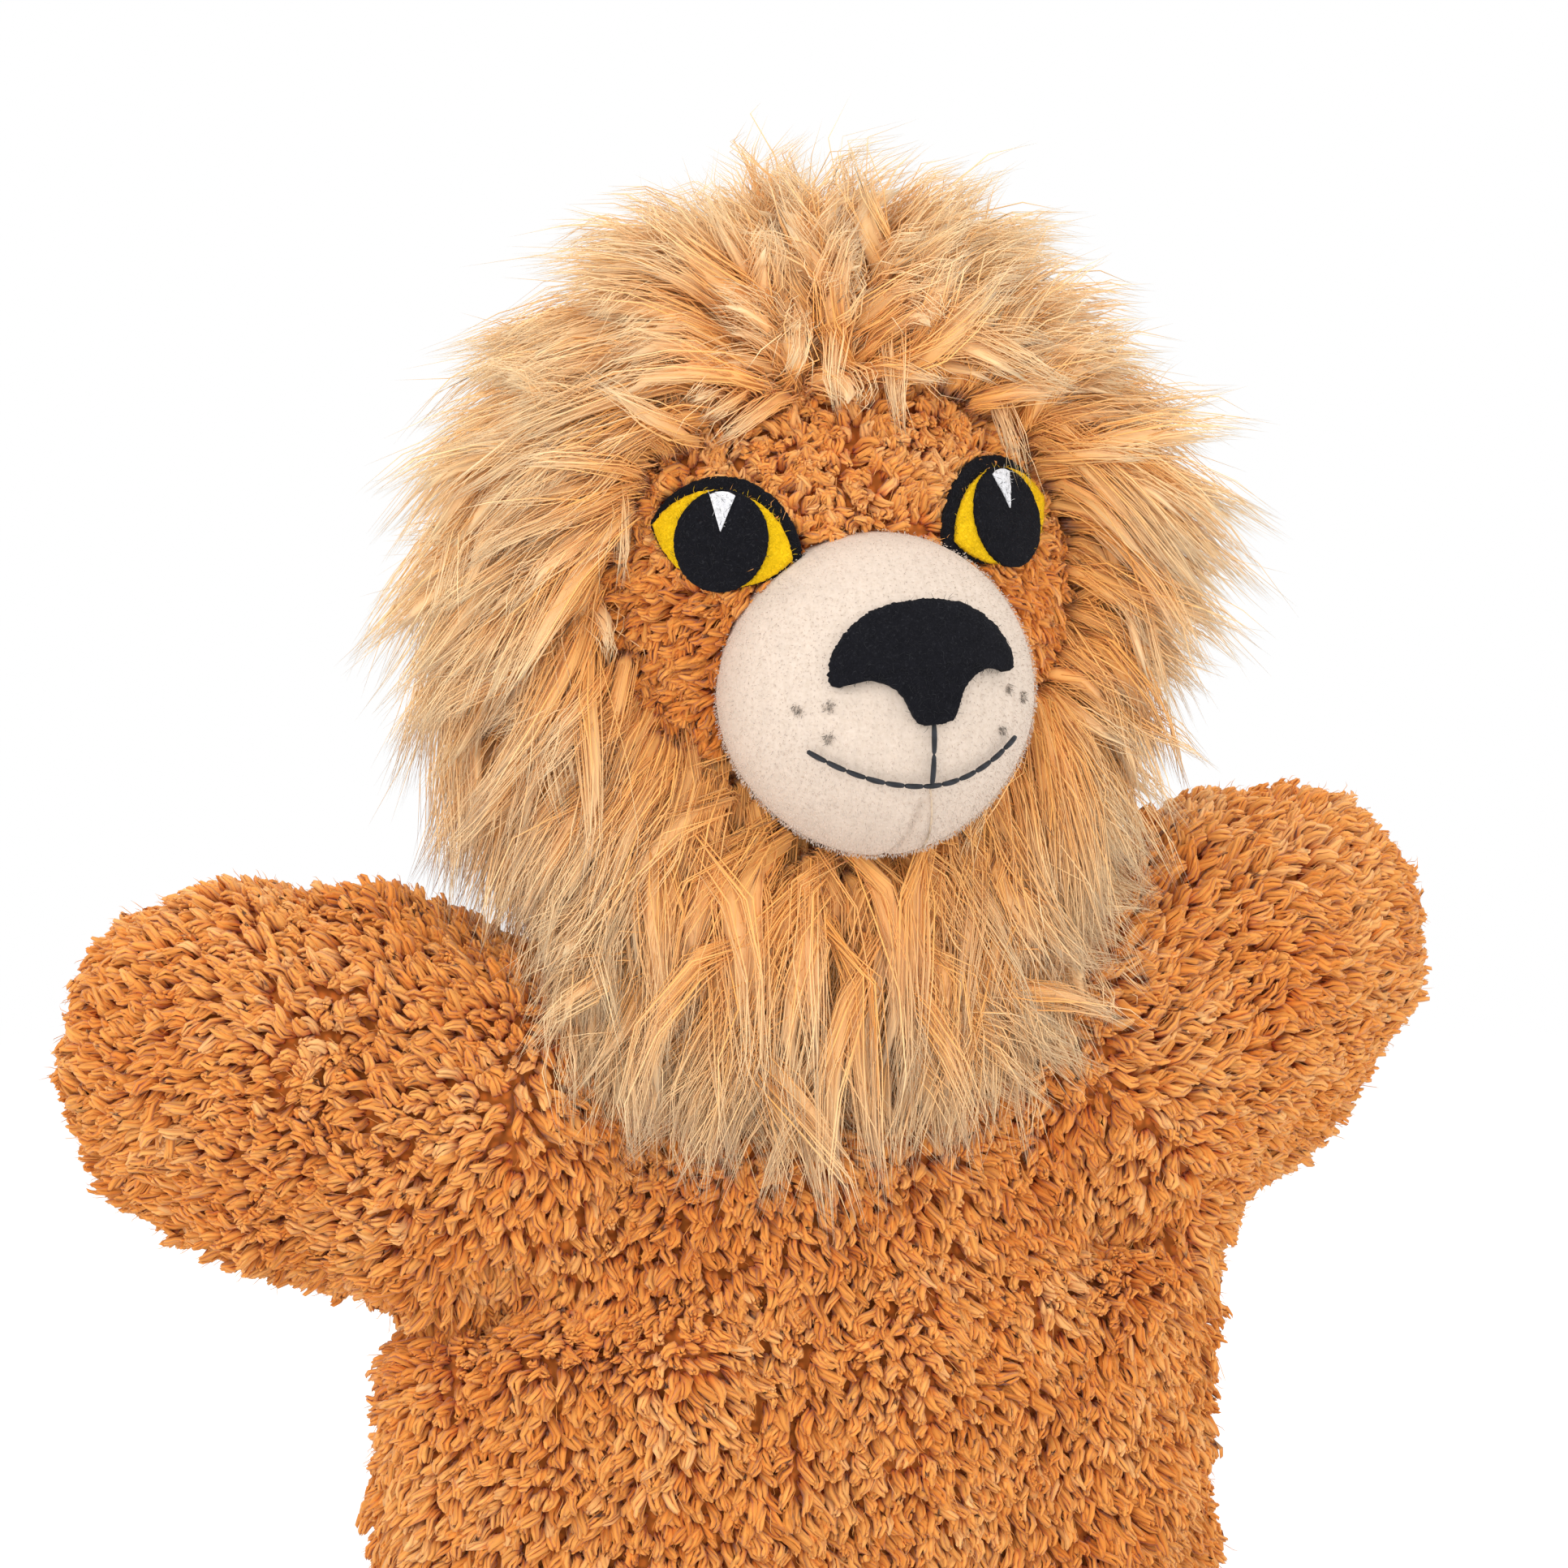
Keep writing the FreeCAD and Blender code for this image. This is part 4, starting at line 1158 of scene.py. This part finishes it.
rows = spread_over(lambda p: head_form(p) + 2.5, HEAD, HEAD_HALF, MANE_ROOT_STEP)
rows = rows[rows[:, 1] > mane_edge(rows) - 0.5]
edge = spread_over(lambda p: head_form(p) + 2.0, HEAD, HEAD_HALF, EDGE_ROOT_STEP)
edge = edge[(np.abs(edge[:, 1] - mane_edge(edge)) < 1.7) & (muzzle_form(edge) > 1)]
edge = edge[rng.permutation(len(edge))[: int(len(edge) * EDGE_ROOT_SHARE)]]
# the crown's roots are taken twice, as its hair parts to both sides
top = rows[rows[:, 2] > HEAD[2] + 0.84 * HEAD_HALF[2]]
root, out = jittered(np.concatenate([rows, edge, top]), head_form)
n = len(root)

# how much each root belongs to the rim round the face, the back, the crown and the underside
facing = unit((root - HEAD) / HEAD_HALF)
rim = smooth((13 - (root[:, 1] - mane_edge(root))) / 13)
back = smooth((facing[:, 1] + 0.1) / 0.8)
crown = smooth((facing[:, 2] - 0.35) / 0.5)
under = smooth((-facing[:, 2] - 0.15) / 0.6)
parting = np.tanh((root[:, 0] + 9 + 5 * waves(root, 30.0, 96)) / 12) * crown

aim = facing.copy()
aim[:, 1] = facing[:, 1] * (1 - 0.2 * rim) - 0.12 * rim
aim[:, 2] -= 0.20 + 0.70 * back * (1 - 0.5 * crown) - 0.12 * crown + 0.20 * under
aim[:, 0] = aim[:, 0] * (1 + 0.2 * crown + 0.35 * under) + 0.15 * parting - 0.12 * crown
aim = unit(scattered(aim, 0.11, n) + 0.11 * wave_field(root, 30.0, 91, 92, 93))
way = unit(aim * (82.0, 53.0, 82.0))
size = rng.uniform(0.80, 1.0, n) - 0.10 * rim * rng.uniform(0, 1, n)
size = size + 0.07 * np.exp(-(((facing[:, 2] - 0.35) / 0.25) ** 2))
tip = settled(HEAD + 60 * way, way, mane_mass, height=0, limit=20, pace=0.8, times=10)
tip = HEAD + (tip - HEAD) * size[:, None]
tip[:, 2] = np.maximum(tip[:, 2], MANE_FOOT + 7 * rng.uniform(-1, 1, n))
tip[:, 1] = np.where(tip[:, 2] < NECK_HEIGHT, np.minimum(tip[:, 1], MANE_BACK), tip[:, 1])
start = out + np.array((0, -0.40, 0.30)) * rim[:, None] + np.array((0, -0.25, 0.35)) * crown[:, None]
start = unit(scattered(start, 0.16, n))
fall = scattered(np.array((0, 0, -0.50)), 0.14, n)
fall[:, 0] += 0.5 * parting
fall[:, 2] -= 0.25 * crown
girth = rng.uniform(2.4, 3.5, n) * (1 - 0.2 * rim)
tone = hair_tone(root)
order = np.argsort(np.arctan2(root[:, 0], -(root[:, 2] - 200)))
mane_nodes = ("mane_crown", "mane_right", "mane_left", "mane_back")
hair_pieces("mane_hair", order, (root, start, tip, fall, girth, tone), with_head, *mane_nodes)

# ---------- hair under the chin and at the nape

BIB = np.array((0.0, -8.0, 174.0))
BIB_HALF = np.array((38.0, 22.0, 34.0))
BIB_ROOT_STEP = 3.9
# the heights between which roots lie, and the one between the bib's two layers
BIB_TOP, BIB_LAYERS, BIB_FOOT = 196, 166, 146
NAPE_TOP, NAPE_FOOT = 192, 156
FAN_X, FAN_HEIGHT = -5.0, 190.0
UPPER_REACH, LOWER_REACH = (40, 66), (56, 81)
NAPE_TIP_HEIGHT, NAPE_TIP_SPREAD = 128, 16


def bib_form(p):
    return egg(p, BIB, BIB_HALF)


# the hair under the chin fans out over the chest in two layers
middle = spread_over(bib_form, BIB, BIB_HALF, BIB_ROOT_STEP)
outside = head_form(middle) > -6
height = middle[:, 2]
chosen = (height < BIB_TOP) & (height > BIB_FOOT) & (middle[:, 1] < 6)
chosen = chosen & (muzzle_form(middle) > 1) & outside
root, out = jittered(middle[chosen], bib_form)
n = len(root)
theta = np.arctan2(root[:, 0] - FAN_X, 24 - (root[:, 2] - FAN_HEIGHT) * 0.55) * 1.12
theta = theta + 0.18 * rng.normal(size=n)
upper = root[:, 2] > BIB_LAYERS
far = np.where(upper, rng.uniform(*UPPER_REACH, n), rng.uniform(*LOWER_REACH, n))
far = far * (1 - 0.04 * np.abs(theta))
tip = np.stack([FAN_X + far * np.sin(theta), np.full(n, -60.0), FAN_HEIGHT - far * np.cos(theta)], 1)
stand = np.where(upper, rng.uniform(6, 13, n), rng.uniform(2.5, 6, n))
tip = settled(tip, (0, -1, 0), glove_form, stand, limit=4, pace=1, times=10)
tip[:, 1] = np.minimum(tip[:, 1], -8 - 24 * np.cos(theta))
start = unit(scattered(out, 0.25, n) + np.where(upper, 0.25, -0.2)[:, None] * (0, 0, 1.0))
fall = scattered(np.array((0, 0, -0.45)), 0.12, n)
girth = rng.uniform(2.1, 3.3, n)
bib_rows = (root, start, tip, fall, girth, hair_tone(root, darker=0.03))
across = np.argsort(root[:, 0])
chin_order, bib_order = across[upper[across]], across[~upper[across]]

# hair at the nape hangs over the back of the neck
chosen = (middle[:, 1] > 4) & (height > NAPE_FOOT) & (height < NAPE_TOP) & outside
root, out = jittered(middle[chosen], bib_form)
n = len(root)
drop = rng.uniform(0.0, 1.0, n)
tip = root * (1.45, 1.0, 0) + (0, 14.0, 0)
tip[:, 2] = NAPE_TIP_HEIGHT + NAPE_TIP_SPREAD * drop + 0.12 * np.abs(tip[:, 0]) + 2 * rng.normal(size=n)
tip = settled(tip, (0, 1, 0), glove_form, 3.5 + 4 * drop, limit=4, pace=0.8, times=10)
tip[:, 1] = np.clip(tip[:, 1], 12, 46)
start = unit(scattered(out, 0.25, n))
fall = scattered(np.array((0, 0, -0.45)), 0.12, n)
girth = rng.uniform(2.4, 3.4, n)
nape_rows = (root, start, tip, fall, girth, hair_tone(root))

hair_pieces("nape_hair", np.argsort(root[:, 0]), nape_rows, with_head)
hair_pieces("chin_hair", chin_order, bib_rows, with_head)
hair_pieces("bib_hair", bib_order, bib_rows, drape, "mane_bib")

# single tufts that hang over the forehead: root, tip, first direction and girth
FOREHEAD = (
    ((2.0, -15.0, 268.0), (-8.0, -43.0, 254.0), (0, -0.7, 1.0), 1.7),
    ((9.0, -15.0, 268.0), (0.0, -45.0, 251.0), (0.2, -0.7, 1.0), 1.5),
    ((-6.0, -16.0, 267.0), (-19.0, -41.0, 260.0), (-0.3, -0.6, 1.0), 1.5),
    ((23.0, -15.0, 262.0), (30.0, -37.0, 243.0), (0.2, -0.8, 0.7), 1.2),
    ((-37.0, -14.0, 249.0), (-45.0, -31.0, 226.0), (-0.5, -0.8, 0.3), 1.0),
)
root, tip, start, girth = (np.array(row) for row in zip(*FOREHEAD))
n = len(root)
built = tufts(root, unit(start), tip, np.tile((0, 0, -0.8), (n, 1)), girth, np.full(n, 0.6))
ride(fur("forehead_tufts", built, mane_pile), "head", "mane_pile")

# ---------- neck

NECK_PIVOT_HEIGHT = 150.0
CLOTH_AROUND = 96


def turned_cloth(name, profile, pleats, depth, count=28):
    """Pleated cloth of revolution about the neck, from a closed outline of radius and height."""
    profile = resample(np.array(profile), count)
    angle = 2 * np.pi * np.arange(CLOTH_AROUND) / CLOTH_AROUND
    fold = depth * (0.5 + 0.5 * np.cos(pleats * angle + 0.6 * np.sin(3 * angle)))
    radius = profile[:, :1] + fold
    height = np.broadcast_to(profile[:, 1:], radius.shape)
    points = np.stack([radius * np.cos(angle), radius * np.sin(angle), height], -1)
    return make(name, points.reshape(-1, 3), ring_quads(count, CLOTH_AROUND, closed=True), backing)


def ball_ring(inner, outer):
    """The closed outline of a ring cut from a hollow ball around the neck's pivot."""
    rise = np.linspace(-8, 9, 9)
    back = rise[::-1]
    outside = np.stack([np.sqrt(outer**2 - rise**2), NECK_PIVOT_HEIGHT + rise], 1)
    inside = np.stack([np.sqrt(inner**2 - back**2), NECK_PIVOT_HEIGHT + back], 1)
    return np.concatenate([outside, inside])


COLLAR = (
    (14.2, 143), (17.0, 145), (17.3, 152), (15.4, 159), (14.6, 166),
    (15.2, 171), (16.8, 177), (13.6, 179), (12.8, 168), (12.6, 150),
)
seam_ring = turned_cloth("neck_gathers", ball_ring(22.6, 24.8), pleats=30, depth=0.9)
ride(seam_ring, "neck_seam", "knit_backing", "neck_seam")
sleeve_ring = turned_cloth("neck_lining", ball_ring(18.6, 20.9), pleats=26, depth=0.8)
ride(sleeve_ring, "neck_sleeve", "knit_backing", "neck_sleeve")
collar = turned_cloth("neck_cloth", COLLAR, pleats=22, depth=0.7, count=36)
ride(collar, "head", "knit_backing", "neck_collar")

TIE_RADIUS, TIE_FOOT, TIE_HEIGHT, TIE_TURNS, TIE_THREAD = 15.9, 166.4, 3.0, 3, 0.62
turn = np.linspace(0, 2 * np.pi * TIE_TURNS, 100)
height = TIE_FOOT + TIE_HEIGHT * turn / turn[-1]
wound = np.stack([TIE_RADIUS * np.cos(turn), TIE_RADIUS * np.sin(turn), height], 1)
binding = thread_piece("neck_binding", wound[None], TIE_THREAD, tan_thread, sides=8)
ride(binding, "head", "tan_thread", "neck_tie")

# ---------- hem, seams and finger tube

INSIDE = PILE_DEPTH + BACKING_THICKNESS
# the hem's turned-up band: heights, and how far its cloth lies inside the backing's inner face
HEM_PROFILE = (
    (0.4, 0.2), (0.0, 0.9), (1.0, 1.9), (6.0, 2.1), (12.0, 2.1),
    (17.2, 1.9), (17.9, 1.2), (17.6, 0.4), (12.0, 0.2), (3.0, 0.1),
)
HEM_STITCH_HEIGHT, HEM_STITCH_GAP, HEM_STITCH = 14.4, 3.6, 2.7
HEM_THREAD, ARM_THREAD = 0.38, 0.32
SIDE_SEAM_RADIUS, SIDE_SEAM_FLAT = 3.4, 0.34


def outline_at(z, inset, count=160):
    """Points around the glove's body at a height, a distance inside its outer face."""
    angle = 2 * np.pi * np.arange(count) / count
    way = np.stack([np.cos(angle), np.sin(angle), 0 * angle], 1)
    inner = way * (60.0, 28.0, 0) + (0, 0, z)
    return settled(inner, way * (1.0, 0.6, 0), glove_form, -inset, limit=6, pace=1, times=14)


loops = np.concatenate([outline_at(z, INSIDE + inset) for z, inset in HEM_PROFILE])
quads = ring_quads(len(HEM_PROFILE), len(loops) // len(HEM_PROFILE), closed=True)
hem = make("hem_fold", loops, quads[:, ::-1], backing)
ride(hem, "torso", "knit_backing", "hem_turning")

loop = outline_at(HEM_STITCH_HEIGHT, INSIDE + 2.3, count=720)
loop = np.concatenate([loop, loop[:1]])
whole = lengthwise(loop)[-1]
count = int(whole / HEM_STITCH_GAP)
at = np.arange(count)[:, None] * whole / count + np.linspace(0, HEM_STITCH, 7)
way = points_at(loop, at)
# each stitch dips into the cloth at its ends
dip = 1 - np.sin(np.linspace(0.3, np.pi - 0.3, 7))
way = way + 0.5 * unit(way * (1, 1, 0)) * dip[:, None]
stitching = thread_piece("hem_stitches", way, HEM_THREAD, brown_thread, sides=6)
ride(stitching, "torso", "tan_thread", "hem_stitching")

# turned-in seam edges inside the body, at both sides
for side, s in SIDES.items():
    z = np.linspace(17.5, 76, 30)
    edge = np.array([outline_at(level, INSIDE, count=4)[0 if s > 0 else 2] for level in z])
    edge[:, 0] -= s * 2.2
    edge[:, 1] = 0.5 * np.sin(z / 7.0)
    more = {"flat": SIDE_SEAM_FLAT, "facing": np.array((0.0, 1.0, 0.0))}
    ridge = thread_piece(f"{side}_side_seam_edge", edge[None], SIDE_SEAM_RADIUS, backing, sides=12, **more)
    ride(ridge, "torso", "knit_backing", f"{side}_side_seam")

# the closing seam shows between the locks on top of each arm
for side, s in SIDES.items():
    way = np.stack([s * np.linspace(59, 86, 40), np.linspace(-2.0, 5.0, 40), np.full(40, 190.0)], 1)
    way = settled(way, (0, 0, 1), glove_form, height=-1.2, limit=6, pace=0.8, times=20)
    first, last = way[::4, None], way[3::4, None]
    line = first + (last - first) * np.linspace(0.0, 0.95, 7)[:, None]
    line[:, :, 2] += 0.5 * np.sin(np.linspace(0, np.pi, 7))
    stitching = thread_piece(f"{side}_arm_seam_stitches", line, ARM_THREAD, brown_thread, sides=6)
    attach(stitching, f"{side}_arm")

for node in ("finger_tube", "finger_tube_cap"):
    tube = bpy.data.objects[node]
    tube.data.materials.clear()
    tube.data.materials.append(kraft)

# ---------- floor, light and camera

# the floor is in millimetres, the places of lamps and camera are in metres
FLOOR_HALF = 4000.0
LAMP_AIM = (0, 0, 0.18)
LAMPS = (
    ("key", (-0.75, -1.0, 0.95), 0.8, 5.3),
    ("front", (-0.4, -1.25, 0.4), 0.9, 3.0),
    ("fill", (0.95, -0.85, 0.55), 0.9, 4.5),
    ("side", (-1.25, -0.1, 0.55), 0.9, 4.3),
    ("top", (0.1, 0.25, 1.3), 0.9, 5.0),
    ("rim", (0.3, 1.1, 0.7), 0.8, 4.2),
)
AMBIENT = 0.78
AZIMUTH, ELEVATION = math.radians(-20), math.radians(9)
CAMERA_AIM, CAMERA_DISTANCE = (-0.0020, 0.0007, 0.1826), 1.3
SENSOR_WIDTH, FOCAL_LENGTH = 36, 163


def paper_floor():
    """A pale floor that fades to plain white away from the puppet."""
    made, shader, add = material("paper_floor", roughness=0.9)
    grain = ramp(add, noise(add, 300.0), [(0.3, (0.86,) * 3), (0.7, (0.89,) * 3)])
    feed(shader.inputs["Base Color"], grain)
    far = add("VectorMath", {0: add("TexCoord").outputs["Object"]}, operation="LENGTH").outputs["Value"]
    ends = {"Value": far, "From Min": 0.3, "From Max": 0.75}
    fade = add("MapRange", ends, interpolation_type="SMOOTHSTEP")
    glow = add("Emission", {"Strength": 1.0})
    blend = add("MixShader", {0: fade.outputs[0], 1: shader.outputs[0], 2: glow.outputs[0]})
    feed(made.node_tree.nodes["Material Output"].inputs["Surface"], blend.outputs[0])
    corners = np.array(((-1, -1, 0), (1, -1, 0), (1, 1, 0), (-1, 1, 0)))
    make("floor", corners * FLOOR_HALF, np.array([[0, 1, 2, 3]]), made)


def studio_world():
    """Soft light from all round, seen as plain white by the camera and in reflections."""
    world = bpy.data.worlds.new("studio")
    bpy.context.scene.world = world
    world.use_nodes = True
    nodes = world.node_tree.nodes
    light, white = nodes["Background"], nodes.new("ShaderNodeBackground")
    for background, strength in ((light, AMBIENT), (white, 1.0)):
        feed(background.inputs["Color"], (1, 1, 1))
        feed(background.inputs["Strength"], strength)
    path = nodes.new("ShaderNodeLightPath").outputs
    seen = nodes.new("ShaderNodeMath")
    seen.operation = "MAXIMUM"
    either = nodes.new("ShaderNodeMixShader")
    feed(seen.inputs[0], path["Is Camera Ray"])
    feed(seen.inputs[1], path["Is Glossy Ray"])
    for k, node in enumerate((seen, light, white)):
        feed(either.inputs[k], node.outputs[0])
    feed(nodes["World Output"].inputs["Surface"], either.outputs[0])


def lamps():
    for name, place, size, power in LAMPS:
        lamp = bpy.data.lights.new(name, "AREA")
        lamp.size = size
        lamp.energy = power
        item = bpy.data.objects.new(name, lamp)
        bpy.context.scene.collection.objects.link(item)
        item.location = place
        item.rotation_euler = (Vector(LAMP_AIM) - item.location).to_track_quat("-Z", "Y").to_euler()


def photo_camera():
    """The camera, placed as the photo's seems to have been."""
    scene = bpy.context.scene
    lens = bpy.data.cameras.new("camera")
    lens.sensor_width = SENSOR_WIDTH
    lens.lens = FOCAL_LENGTH
    camera = bpy.data.objects.new("camera", lens)
    scene.collection.objects.link(camera)
    level = math.cos(ELEVATION)
    back = Vector((math.sin(AZIMUTH) * level, -math.cos(AZIMUTH) * level, math.sin(ELEVATION)))
    camera.location = Vector(CAMERA_AIM) + back * CAMERA_DISTANCE
    camera.rotation_euler = (-back).to_track_quat("-Z", "Y").to_euler()
    scene.camera = camera
    scene.view_settings.view_transform = "Standard"


paper_floor()
studio_world()
lamps()
photo_camera()
